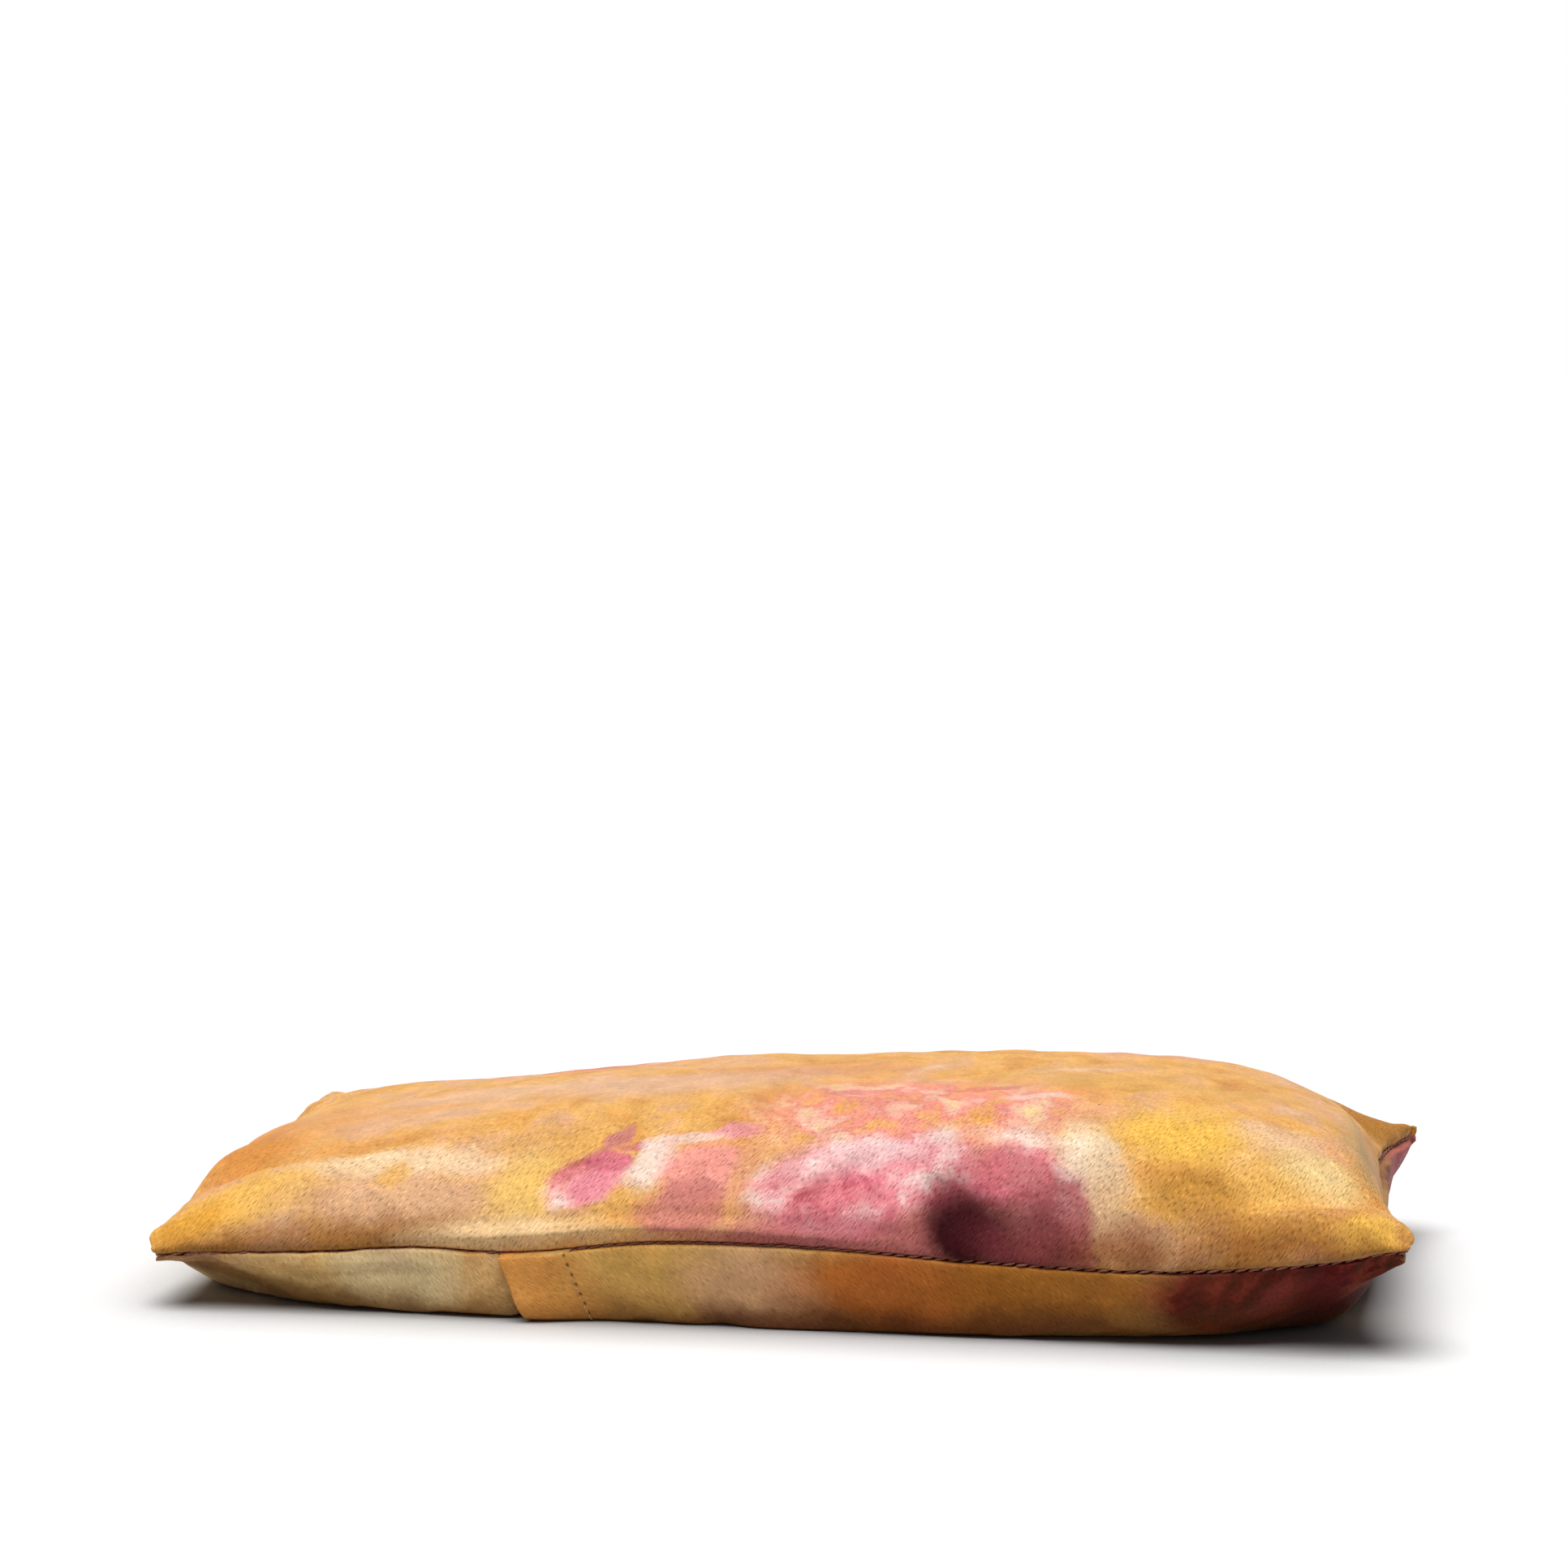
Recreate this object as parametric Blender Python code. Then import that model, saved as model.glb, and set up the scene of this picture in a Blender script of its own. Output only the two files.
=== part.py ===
"""Eye pillow: a seed-filled muslin insert inside a removable silk cover.

The cover is a top panel and two back panels, sewn together along one seam that runs round the pillow.
The back panels overlap as an envelope closure, and the insert slips out between them.
Units are metres. +X runs along the pillow, +Z is up, and the pillow rests on the plane z = 0.
"""
import math

import bmesh
import bpy
import numpy as np

# Overall form of the filled cover
LENGTH = 0.227             # from corner tip to corner tip, along X
DEPTH = 0.110              # from corner tip to corner tip, along Y
CROWN_LEFT = 0.0310        # height of the top at the thinner end
CROWN_RIGHT = 0.0408       # height of the top at the plumper end
SEAM_HEIGHT = 0.0145       # height of the seam along the sides
NEAR_LEFT_TIP = 0.0110     # height of the seam at each corner tip
NEAR_RIGHT_TIP = 0.0196
FAR_LEFT_TIP = 0.0175
FAR_RIGHT_TIP = 0.0173
SIDE_DRAW = 0.0050         # how far the fill draws the middle of a long side in
LEFT_END_DRAW = 0.0035     # the same at the ends
RIGHT_END_DRAW = 0.0070

# Flat patch that the pillow rests on, measured in from the corner tips and from the drawn-in sides
BASE_LEFT_INSET = 0.0065
BASE_RIGHT_INSET = 0.0145
BASE_SIDE_INSET = 0.0040

# Cloth, thread and the space that neighbouring pieces keep
SILK = 0.0004              # one ply of the cover
MUSLIN = 0.0004            # one ply of the insert
THREAD = 0.0003            # diameter of the sewing thread
GAP = 0.0003
COVER_ALLOWANCE = 0.0040   # width of the cover's cloth turned in at the seam
INSERT_ALLOWANCE = 0.0040  # width of the insert's cloth turned in at its seam
STITCH_INSET = 0.0008      # distance of a seam's stitches from its edge

# Envelope closure on the back
FLAP_EDGE_X = -0.0455      # free edge of the outer back panel
OVERLAP = 0.060            # how far the inner back panel reaches behind the outer one
HEM_WIDTH = 0.0125         # hem of both free edges
HEM_STITCH_INSET = 0.0012  # distance of a hem's stitches from its raw edge
STEP_LENGTH = 0.011        # length over which the inner panel steps in behind the outer one

# The insert: how far its corner tips stay back from the cover's ears, and the part of its seam, at
# the right end, that is sewn up by hand after filling
INSERT_TIP_INSET = 0.007
CLOSING_LENGTH = 0.045

# Shape of the curves, as powers of a position that runs from -1 to 1
END_CURVE = 4.0
SIDE_CURVE = 7.0
END_POWER = 9.0
LEFT_SIDE_POWER = 3.6
RIGHT_SIDE_POWER = 2.5
SIDE_ROOT = 1.8
EAR_OUTLINE_POWER = 5.0
BASE_POWER = 4.5
EAR_POWER = 1.5
EAR_REACH_POWER = 20.0
EAR_FLATNESS = 0.62

# Places of the curves, as positions that run from -1 to 1
TIP_RISE_RATIO = 0.55
CROWN_START_RATIO = -0.80
CROWN_END_RATIO = 0.45
EAR_START_RATIO = 0.93
EAR_END_RATIO = 1.12
CORNER_START_RATIO = 0.70
CORNER_END_RATIO = 0.93

TINY = 1e-6                # keeps the middle of the base out of a division by zero

# Cells of the meshes
TOP_CELLS = 22
ACROSS_CELLS = 16
LEFT_CELLS = 7
STEP_CELLS = 1
HEM_CELLS = 1
MIDDLE_CELLS = 3
RIGHT_CELLS = 9

# Sizes that follow from those above
SEAM_HALF_GAP = THREAD / 2 + GAP
HEM = 2 * SILK
UNDERLAP_LIFT = HEM + GAP + THREAD + GAP
INSERT_INSET = COVER_ALLOWANCE + GAP
INSERT_DROP = SILK + GAP
INSERT_LIFT = UNDERLAP_LIFT + HEM + GAP
FILL_DROP = INSERT_DROP + MUSLIN + GAP
FILL_LIFT = INSERT_LIFT + MUSLIN + GAP


def ease(low, high, value):
    """Return 0 below low, 1 above high and a smooth rise between them."""
    step = np.clip((value - low) / (high - low), 0.0, 1.0)
    return step * step * (3.0 - 2.0 * step)


def blend(first, second, share):
    return first + (second - first) * share


def along(x):
    """Return the position from -1 to 1 of a place x on the pillow's middle line."""
    end_draw = LEFT_END_DRAW if x < 0.0 else RIGHT_END_DRAW
    return x / (LENGTH / 2 - end_draw)


FLAP_EDGE = along(FLAP_EDGE_X)
FLAP_HEM_END = along(FLAP_EDGE_X + HEM_WIDTH)
FLAP_STITCH = along(FLAP_EDGE_X + HEM_WIDTH - HEM_STITCH_INSET)
STEP_START = along(FLAP_EDGE_X - STEP_LENGTH)
UNDERLAP_EDGE = along(FLAP_EDGE_X + OVERLAP)
UNDERLAP_HEM_START = along(FLAP_EDGE_X + OVERLAP - HEM_WIDTH)
UNDERLAP_STITCH = along(FLAP_EDGE_X + OVERLAP - HEM_WIDTH + HEM_STITCH_INSET)


def plan(s, t, inset):
    """Return x and y of the position (s, t), with the outline moved in by inset."""
    end_draw = np.where(s < 0.0, LEFT_END_DRAW, RIGHT_END_DRAW)
    half_length = LENGTH / 2 - inset - end_draw * (1.0 - np.abs(t) ** END_CURVE)
    half_depth = DEPTH / 2 - inset - SIDE_DRAW * (1.0 - np.abs(s) ** SIDE_CURVE)
    return s * half_length, t * half_depth


def seam_level(s, t):
    """Return the height of the sheet that the seam lies in."""
    near_tip = np.where(s < 0.0, NEAR_LEFT_TIP, NEAR_RIGHT_TIP)
    far_tip = np.where(s < 0.0, FAR_LEFT_TIP, FAR_RIGHT_TIP)
    tip = blend(near_tip, far_tip, (1.0 + t) / 2)
    return blend(SEAM_HEIGHT, tip, ease(TIP_RISE_RATIO, 1.0, np.abs(s)))


def rounded_reach(s, t, power):
    """Return how far (s, t) lies from the middle, counted on squares whose corners are rounded."""
    return (np.abs(s) ** power + np.abs(t) ** power) ** (1.0 / power)


def ear_share(s, t):
    """Return 0 on the body of the pillow, rising to 1 at the tips of its corner ears."""
    return ease(EAR_START_RATIO, EAR_END_RATIO, rounded_reach(s, t, EAR_OUTLINE_POWER))


def crown_share(s, t):
    """Return the rise of the top, from 0 at the seam to 1 on the crown, with flat corner ears."""
    side_power = blend(LEFT_SIDE_POWER, RIGHT_SIDE_POWER, ease(-1.0, 0.0, s))
    rise_along = np.sqrt(np.maximum(1.0 - np.abs(s) ** END_POWER, 0.0))
    rise_across = np.maximum(1.0 - np.abs(t) ** side_power, 0.0) ** (1.0 / SIDE_ROOT)
    return rise_along * rise_across * (1.0 - EAR_FLATNESS * ear_share(s, t))


def base_radius(x, y):
    """Return 1 on the edge of the flat base, and more outside it."""
    middle = (BASE_LEFT_INSET - BASE_RIGHT_INSET) / 2
    half_length = LENGTH / 2 - (BASE_LEFT_INSET + BASE_RIGHT_INSET) / 2
    half_depth = DEPTH / 2 - SIDE_DRAW - BASE_SIDE_INSET
    return rounded_reach((x - middle) / half_length, y / half_depth, BASE_POWER)


def wall_share(s, t):
    """Return the rise of the back, from 0 on the flat base to 1 at the seam and in the flat ears."""
    reach = np.maximum(rounded_reach(s, t, EAR_REACH_POWER), TINY)
    edge_s = s / reach
    edge_t = t / reach
    edge_radius = base_radius(*plan(edge_s, edge_t, 0.0))
    rise = np.clip((base_radius(*plan(s, t, 0.0)) - 1.0) / (edge_radius - 1.0), 0.0, 1.0)
    corner = ease(CORNER_START_RATIO, CORNER_END_RATIO, np.minimum(np.abs(edge_s), np.abs(edge_t)))
    return blend(1.0 - np.sqrt(1.0 - rise * rise), rise ** EAR_POWER, corner)


def crown_level(s):
    """Return the height of the cover's crown along the pillow."""
    return blend(CROWN_LEFT, CROWN_RIGHT, ease(CROWN_START_RATIO, CROWN_END_RATIO, s))


def on_edge(s, t):
    return (np.abs(s) >= 1.0) | (np.abs(t) >= 1.0)


def stacked(x, y, z):
    return np.stack(np.broadcast_arrays(x, y, z), axis=-1)


def top_faces(s, t, inset, drop, cloth):
    """Return the outer and inner face of a top panel whose crown lies drop below the cover's."""
    level = seam_level(s, t)
    fold = SEAM_HALF_GAP + 2 * cloth + GAP
    height = crown_level(s) - drop - seam_level(s, 0.0) - fold
    z = level + fold + height * crown_share(s, t)
    edge = on_edge(s, t)
    outer = stacked(*plan(s, t, inset), np.where(edge, level + SEAM_HALF_GAP, z))
    inner = stacked(*plan(s, t, inset + cloth), np.where(edge, level + SEAM_HALF_GAP + cloth, z - cloth))
    return outer, inner


def back_faces(s, t, inset, lift, cloth, thickness, half_gap):
    """Return the outer and inner face of a back panel that lies lift above the resting plane."""
    level = seam_level(s, t)
    fold = half_gap + 2 * cloth + GAP
    z = lift + (level - fold - lift) * wall_share(s, t)
    edge = on_edge(s, t)
    outer = stacked(*plan(s, t, inset), np.where(edge, level - half_gap, z))
    inner_z = np.where(edge, level - half_gap - cloth, z + thickness)
    inner = stacked(*plan(s, t, inset + thickness), inner_z)
    return outer, inner


def graded(start, stop, cells, dense_at):
    """Return cells + 1 positions that lie closer together near the end named by dense_at."""
    steps = np.arange(cells + 1) / cells
    if dense_at == "start":
        steps = 1.0 - np.cos(steps * math.pi / 2)
    if dense_at == "stop":
        steps = np.sin(steps * math.pi / 2)
    return start + (stop - start) * steps


def joined(*runs):
    """Join runs of positions end to end, with the shared ones kept once."""
    return np.concatenate([runs[0]] + [run[1:] for run in runs[1:]])


def even_ends(cells):
    """Return positions from -1 to 1 that lie closer together at both ends."""
    return -np.cos(np.arange(cells + 1) * math.pi / cells)


TOP_LINES = even_ends(TOP_CELLS)
ACROSS_LINES = even_ends(ACROSS_CELLS)
STEP_LINES = graded(STEP_START, FLAP_EDGE, STEP_CELLS, "neither")
UNSTEPPED_LINES = graded(-1.0, STEP_START, LEFT_CELLS, "start")
FLAP_LINES = joined(
    graded(FLAP_EDGE, FLAP_HEM_END, HEM_CELLS, "neither"),
    graded(FLAP_HEM_END, UNDERLAP_HEM_START, MIDDLE_CELLS, "neither"),
    graded(UNDERLAP_HEM_START, UNDERLAP_EDGE, HEM_CELLS, "neither"),
)
RIGHT_LINES = graded(UNDERLAP_EDGE, 1.0, RIGHT_CELLS, "stop")
UNDERLAP_LINES = joined(UNSTEPPED_LINES, STEP_LINES, FLAP_LINES)
OVERLAP_LINES = joined(FLAP_LINES, RIGHT_LINES)
BACK_LINES = joined(UNDERLAP_LINES, RIGHT_LINES)


def grid(s_lines):
    return np.meshgrid(s_lines, ACROSS_LINES, indexing="ij")


def border(rows, columns):
    """Return the indices of a grid's border, once round."""
    loop = [(row, 0) for row in range(rows - 1)]
    loop += [(rows - 1, column) for column in range(columns - 1)]
    loop += [(row, columns - 1) for row in range(rows - 1, 0, -1)]
    loop += [(0, column) for column in range(columns - 1, 0, -1)]
    return loop


def cloth_material(name, colour, roughness):
    material = bpy.data.materials.new(name)
    material.use_nodes = True
    shader = material.node_tree.nodes["Principled BSDF"]
    shader.inputs["Base Color"].default_value = (*colour, 1.0)
    shader.inputs["Roughness"].default_value = roughness
    shader.inputs["Metallic"].default_value = 0.0
    material.diffuse_color = (*colour, 1.0)
    return material


def add_mesh(name, vertices, faces, material):
    """Add one closed mesh object, with vertices that share a place joined."""
    mesh = bpy.data.meshes.new(name)
    mesh.from_pydata(vertices, [], faces)
    shape = bmesh.new()
    shape.from_mesh(mesh)
    bmesh.ops.remove_doubles(shape, verts=shape.verts, dist=1e-7)
    shape.to_mesh(mesh)
    shape.free()
    mesh.materials.append(material)
    piece = bpy.data.objects.new(name, mesh)
    bpy.context.collection.objects.link(piece)


def grid_faces(rows, columns, first):
    """Return the faces of a grid of vertices, seen from above."""
    return [
        (first + row * columns + column, first + (row + 1) * columns + column,
         first + (row + 1) * columns + column + 1, first + row * columns + column + 1)
        for row in range(rows - 1)
        for column in range(columns - 1)
    ]


def turned(faces):
    return [face[::-1] for face in faces]


def add_panel(name, outer, inner, near_ring, far_ring, side, material):
    """Add a cloth panel: two faces joined by a border that runs along the two rings between them.

    side is 1 for a top panel, whose outer face looks up, and -1 for a back panel.
    """
    rows, columns = outer.shape[:2]
    loop = border(rows, columns)
    count = rows * columns
    vertices = outer.reshape(-1, 3).tolist() + inner.reshape(-1, 3).tolist()
    vertices += near_ring.tolist() + far_ring.tolist()
    faces = grid_faces(rows, columns, 0) + turned(grid_faces(rows, columns, count))
    outer_ring = [row * columns + column for row, column in loop]
    inner_ring = [count + index for index in outer_ring]
    near = [2 * count + index for index in range(len(loop))]
    far = [index + len(loop) for index in near]
    for first, second in ((outer_ring, near), (near, far), (far, inner_ring)):
        for index in range(len(loop)):
            after = (index + 1) % len(loop)
            faces.append((second[index], second[after], first[after], first[index]))
    add_mesh(name, vertices, faces if side == 1 else turned(faces), material)


def border_rings(s, t, outer, inner, inset, side):
    """Return the two rings of a panel's border: a plain free edge, or the cloth turned in at the seam.

    The turned-in cloth reaches inset inside the cover's outline. side is 1 for a top panel, where it
    lies above the seam, and -1 for a back panel.
    """
    x, y = plan(s, t, inset)
    near_ring = []
    far_ring = []
    last_row = s.shape[0] - 1
    for row, column in border(*s.shape):
        start = outer[row, column]
        end = inner[row, column]
        near = start + (end - start) / 3
        far = start + (end - start) * 2 / 3
        free_edge = row in (0, last_row) and abs(s[row, column]) < 1.0
        if not free_edge:
            near = np.array((x[row, column], y[row, column], start[2]))
            far = near + np.array((0.0, 0.0, side * abs(end[2] - start[2])))
        near_ring.append(near)
        far_ring.append(far)
    return np.array(near_ring), np.array(far_ring)


def add_thread(name, points, closed, material):
    """Add a sewing thread as one round tube through the points."""
    curve = bpy.data.curves.new(name, "CURVE")
    curve.dimensions = "3D"
    curve.bevel_depth = THREAD / 2
    curve.bevel_resolution = 1
    curve.use_fill_caps = True
    spline = curve.splines.new("POLY")
    spline.points.add(len(points) - 1)
    for point, place in zip(spline.points, points):
        point.co = (*place, 1.0)
    spline.use_cyclic_u = closed
    curve.materials.append(material)
    piece = bpy.data.objects.new(name, curve)
    bpy.context.collection.objects.link(piece)


def seam_loop(s_lines):
    """Return the positions of the seam, once round."""
    s, t = grid(s_lines)
    loop = border(*s.shape)
    return np.array([s[place] for place in loop]), np.array([t[place] for place in loop])


def seam_path(s, t, inset):
    """Return the points of a seam's stitches."""
    return stacked(*plan(s, t, inset), seam_level(s, t))


def run_between(points, low, high):
    """Return the part of a run of points from y = low to y = high, with its ends exactly there."""
    y = points[:, 1]
    inside = points[(y > low) & (y < high)]
    ends = [[np.interp(stop, y, points[:, axis]) for axis in range(3)] for stop in (low, high)]
    return np.concatenate((ends[:1], inside, ends[1:]))


def hem_path(position, depth):
    """Return the points of a hem's stitches, at a depth inside the cover and clear of the seam."""
    t = ACROSS_LINES[2:-2]
    s = np.full_like(t, position)
    outer, _ = back_faces(s, t, depth, depth, SILK, SILK, SEAM_HALF_GAP)
    return outer


def build_cover():
    silk_top = cloth_material("hand_dyed_silk_top", (0.65, 0.38, 0.13), 0.55)
    silk_left = cloth_material("hand_dyed_silk_left_back", (0.58, 0.45, 0.22), 0.55)
    silk_right = cloth_material("hand_dyed_silk_right_back", (0.42, 0.24, 0.08), 0.55)
    seam_thread = cloth_material("polyester_thread_red_brown", (0.20, 0.06, 0.03), 0.60)
    hem_thread = cloth_material("polyester_thread_golden_tan", (0.45, 0.21, 0.06), 0.60)

    s, t = grid(TOP_LINES)
    outer, inner = top_faces(s, t, 0.0, 0.0, SILK)
    rings = border_rings(s, t, outer, inner, COVER_ALLOWANCE, 1)
    add_panel("top_panel", outer, inner, *rings, 1, silk_top)

    s, t = grid(UNDERLAP_LINES)
    step = ease(STEP_START, FLAP_EDGE, s)
    hem = np.where(s > UNDERLAP_HEM_START, HEM, SILK)
    lift = UNDERLAP_LIFT * step
    half_gap = SEAM_HALF_GAP + (SILK + GAP) * step
    outer, inner = back_faces(s, t, lift, lift, SILK, hem, half_gap)
    rings = border_rings(s, t, outer, inner, COVER_ALLOWANCE, -1)
    add_panel("back_panel_underlap", outer, inner, *rings, -1, silk_left)

    s, t = grid(OVERLAP_LINES)
    hem = np.where(s < FLAP_HEM_END, HEM, SILK)
    outer, inner = back_faces(s, t, 0.0, 0.0, SILK, hem, SEAM_HALF_GAP)
    rings = border_rings(s, t, outer, inner, COVER_ALLOWANCE, -1)
    add_panel("back_panel_overlap", outer, inner, *rings, -1, silk_right)

    add_thread("cover_seam_thread", seam_path(*seam_loop(TOP_LINES), STITCH_INSET), True, seam_thread)
    overlap_depth = HEM + GAP + THREAD / 2
    add_thread("overlap_hem_thread", hem_path(FLAP_STITCH, overlap_depth), False, hem_thread)
    underlap_depth = UNDERLAP_LIFT - GAP - THREAD / 2
    add_thread("underlap_hem_thread", hem_path(UNDERLAP_STITCH, underlap_depth), False, hem_thread)


def insert_inset(s, t):
    """Return how far the insert's outline lies inside the cover's."""
    return INSERT_INSET + INSERT_TIP_INSET * ear_share(s, t)


def build_insert():
    muslin = cloth_material("unbleached_muslin", (0.72, 0.65, 0.52), 0.90)
    muslin_back = cloth_material("unbleached_muslin_back", (0.70, 0.63, 0.50), 0.90)
    thread = cloth_material("cotton_thread", (0.80, 0.76, 0.66), 0.80)

    s, t = grid(TOP_LINES)
    inset = insert_inset(s, t)
    outer, inner = top_faces(s, t, inset, INSERT_DROP, MUSLIN)
    rings = border_rings(s, t, outer, inner, inset + INSERT_ALLOWANCE, 1)
    add_panel("insert_top_panel", outer, inner, *rings, 1, muslin)

    s, t = grid(BACK_LINES)
    inset = insert_inset(s, t)
    outer, inner = back_faces(s, t, inset, INSERT_LIFT, MUSLIN, MUSLIN, SEAM_HALF_GAP)
    rings = border_rings(s, t, outer, inner, inset + INSERT_ALLOWANCE, -1)
    add_panel("insert_bottom_panel", outer, inner, *rings, -1, muslin_back)

    loop_s, loop_t = seam_loop(TOP_LINES)
    points = seam_path(loop_s, loop_t, insert_inset(loop_s, loop_t) + STITCH_INSET)
    at_right_end = loop_s >= 1.0
    right_end = points[at_right_end]
    first = int(np.argmax(at_right_end))
    rest = np.concatenate((points[first + len(right_end):], points[:first]))
    closing = run_between(right_end, -CLOSING_LENGTH / 2, CLOSING_LENGTH / 2)
    seam_stop = CLOSING_LENGTH / 2 + THREAD + GAP
    after = run_between(right_end, seam_stop, right_end[-1, 1])
    before = run_between(right_end, right_end[0, 1], -seam_stop)
    seam = np.concatenate((after, rest, before))
    add_thread("insert_closing_thread", closing, False, thread)
    add_thread("insert_seam_thread", seam, False, thread)


def build_fill():
    """Add the loose flax seed and lavender as the one bulk that they settle into."""
    seed = cloth_material("flax_seed_and_lavender", (0.20, 0.10, 0.05), 0.70)
    s, t = grid(TOP_LINES)
    rows, columns = s.shape
    level = seam_level(s, t)
    height = crown_level(s) - FILL_DROP - seam_level(s, 0.0)
    top_z = level + height * crown_share(s, t)
    back_z = FILL_LIFT + (level - FILL_LIFT) * wall_share(s, t)
    x, y = plan(s, t, insert_inset(s, t) + INSERT_ALLOWANCE + GAP)
    vertices = stacked(x, y, top_z).reshape(-1, 3).tolist() + stacked(x, y, back_z).reshape(-1, 3).tolist()
    faces = grid_faces(rows, columns, 0) + turned(grid_faces(rows, columns, rows * columns))
    add_mesh("flax_seed_fill", vertices, faces, seed)


def main():
    for leftover in list(bpy.data.objects):
        bpy.data.objects.remove(leftover)
    build_cover()
    build_insert()
    build_fill()


main()
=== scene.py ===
"""Eye pillow as it is seen: a hand-dyed silk cover with an envelope back over a seed-filled muslin insert.

Shapes are worked out in millimetres and turned to metres when a mesh is made. A place on the pillow is
(s, t): s runs from -1 at the left end to 1 at the right end, t from -1 on the near side to 1 on the far side.
What ease is given with s or t are such places: where a form starts and where it is full.
"""
import math

import bmesh
import bpy
import numpy as np
from mathutils import Matrix, Vector


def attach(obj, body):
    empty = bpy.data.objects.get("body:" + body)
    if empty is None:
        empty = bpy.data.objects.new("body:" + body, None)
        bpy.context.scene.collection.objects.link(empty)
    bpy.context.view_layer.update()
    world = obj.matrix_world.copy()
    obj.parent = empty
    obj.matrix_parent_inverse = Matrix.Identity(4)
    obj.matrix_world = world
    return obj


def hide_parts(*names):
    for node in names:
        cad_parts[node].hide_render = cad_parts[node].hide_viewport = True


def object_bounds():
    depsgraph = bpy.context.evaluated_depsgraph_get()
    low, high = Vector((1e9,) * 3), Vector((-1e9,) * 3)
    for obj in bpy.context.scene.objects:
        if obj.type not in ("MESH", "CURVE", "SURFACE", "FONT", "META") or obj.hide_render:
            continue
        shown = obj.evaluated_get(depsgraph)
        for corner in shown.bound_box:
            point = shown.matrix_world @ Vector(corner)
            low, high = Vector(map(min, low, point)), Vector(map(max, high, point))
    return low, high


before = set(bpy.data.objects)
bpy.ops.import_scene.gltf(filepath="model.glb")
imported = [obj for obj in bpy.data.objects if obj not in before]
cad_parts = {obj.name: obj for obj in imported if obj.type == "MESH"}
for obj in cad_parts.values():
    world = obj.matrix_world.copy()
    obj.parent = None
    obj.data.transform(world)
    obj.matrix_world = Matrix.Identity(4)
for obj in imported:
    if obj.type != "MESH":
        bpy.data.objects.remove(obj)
cad_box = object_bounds()

MM = 0.001

# Outline of the cover
LENGTH = (cad_box[1].x - cad_box[0].x) / MM
DEPTH = (cad_box[1].y - cad_box[0].y) / MM
TIP_SPARE = 1.6            # what the rounding of a tip takes off its reach
TIP_ROUNDING = 2.0
TIP_START = 0.87
NEAR_RIGHT_ROUNDING = 1.4  # more of it at the near right tip
SIDE_DRAW = 5.0            # how far the fill draws the middle of a long side in
LEFT_END_DRAW = 3.5        # the same at the ends
RIGHT_END_DRAW = 9.0
FAR_LEFT_DRAW = 4.5        # how far the far left tip is drawn in along the pillow
END_CURVE = 3.5
SIDE_CURVE = 7.0

# Heights along the pillow, as (s, height)
NEAR_SEAM = (
    (-1.0, 10.3), (-0.72, 11.5), (-0.57, 12.8), (-0.43, 12.3), (-0.2, 15.2),
    (0.06, 15.5), (0.35, 14.2), (0.59, 13.8), (0.86, 16.7), (1.0, 19.4),
)
FAR_SEAM = ((-1.0, 19.0), (-0.75, 14.5), (0.0, 15.0), (0.6, 15.0), (0.85, 17.0), (1.0, 19.8))
NEAR_BAND = (
    (-1.0, 1.5), (-0.62, 1.3), (-0.5, 2.4), (-0.42, 3.5), (-0.3, 3.4),
    (-0.18, 2.7), (0.0, 2.0), (0.13, 1.4), (0.3, 0.9), (1.0, 1.0),
)
CROWN = ((-1.0, 27.0), (-0.66, 31.0), (-0.25, 37.0), (0.15, 40.2), (0.55, 40.9), (1.0, 40.8))

# Flat patch that the pillow rests on: a rounder one at the plump right end
BASE_MIDDLE = -4.0
BASE_HALF_LENGTH = 103.5
BASE_HALF_DEPTH = 47.2
BASE_LEFT_POWER = 4.4
BASE_RIGHT_POWER = 3.1
# Unevenness of its long edges, as height, length over 2 pi and start, and the dent of the near one
BASE_WAVES = ((0.5, 13.0, 0.6), (0.3, 6.1, 2.0))
BASE_DENT = (1.6, -9.0, 3.5)
WALL_FOOT = 0.04           # how softly an ear's wall leaves the base: the square of a share of its width
LEFT_EAR_BOW = 1.35        # how far the wall of a left ear bows out, where 1 is straight

# Roundness of the top, as powers and roots of its profiles, near and far
LEFT_SIDE_POWERS = (3.4, 2.2)
RIGHT_SIDE_POWERS = (3.0, 2.5)
LEFT_END_POWER = 11.0
RIGHT_END_POWERS = (10.0, 8.0)
LEFT_END_ROOTS = (3.0, 2.2)
RIGHT_END_ROOTS = (2.4, 2.0)
SIDE_ROOT = 1.8
BAND_SIDE_ROOT = 0.5       # what the upright band takes off it
FAR_LEFT_SLACK = 0.10      # shares that the slack of the fill takes off the height
FAR_RIGHT_SLACK = 0.15
RIGHT_SLACK = 0.06
EAR_SLACK = 0.5
EAR_POWER = 5

# Envelope closure
FLAP_TOP_X = -47.5         # free edge of the flap, at the seam and under the pillow
FLAP_UNDER_X = -42.9
OVERLAP = 60.0
HEM_WIDTH = 12.5
HEM_STITCH_INSET = 1.2
HEM_STEP = 0.2             # extra thickness of the hem, and how far its stitches draw it in
HEM_DIP = 0.2
HEM_DIP_WIDTH = 0.7
HEM_EASE = 0.6             # half the length over which the hem's thickness ends
FLAP_GAPE = 0.5            # how far the flap gapes at its free edge, and how far along that reaches
GAPE_REACH = 9.0
FLAP_SWING = 2.2           # how far the flap's lower corner swings out, and how far along that reaches
SWING_REACH = 14.0
SWING_HEIGHTS = (1.5, 9.0)     # heights over which the swing fades, and y over which it starts
SWING_DEPTHS = (-32.0, -44.0)
FLAP_FREE = (0.5, 5.0)     # heights over which the flap and the rest of the back come free of the table
BACK_FREE = (0.0, 4.0)
FLAP_SEAM_LIFT = 0.3       # how much lower the flap lies in the seam than the underlap
SILK = 0.35
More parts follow.
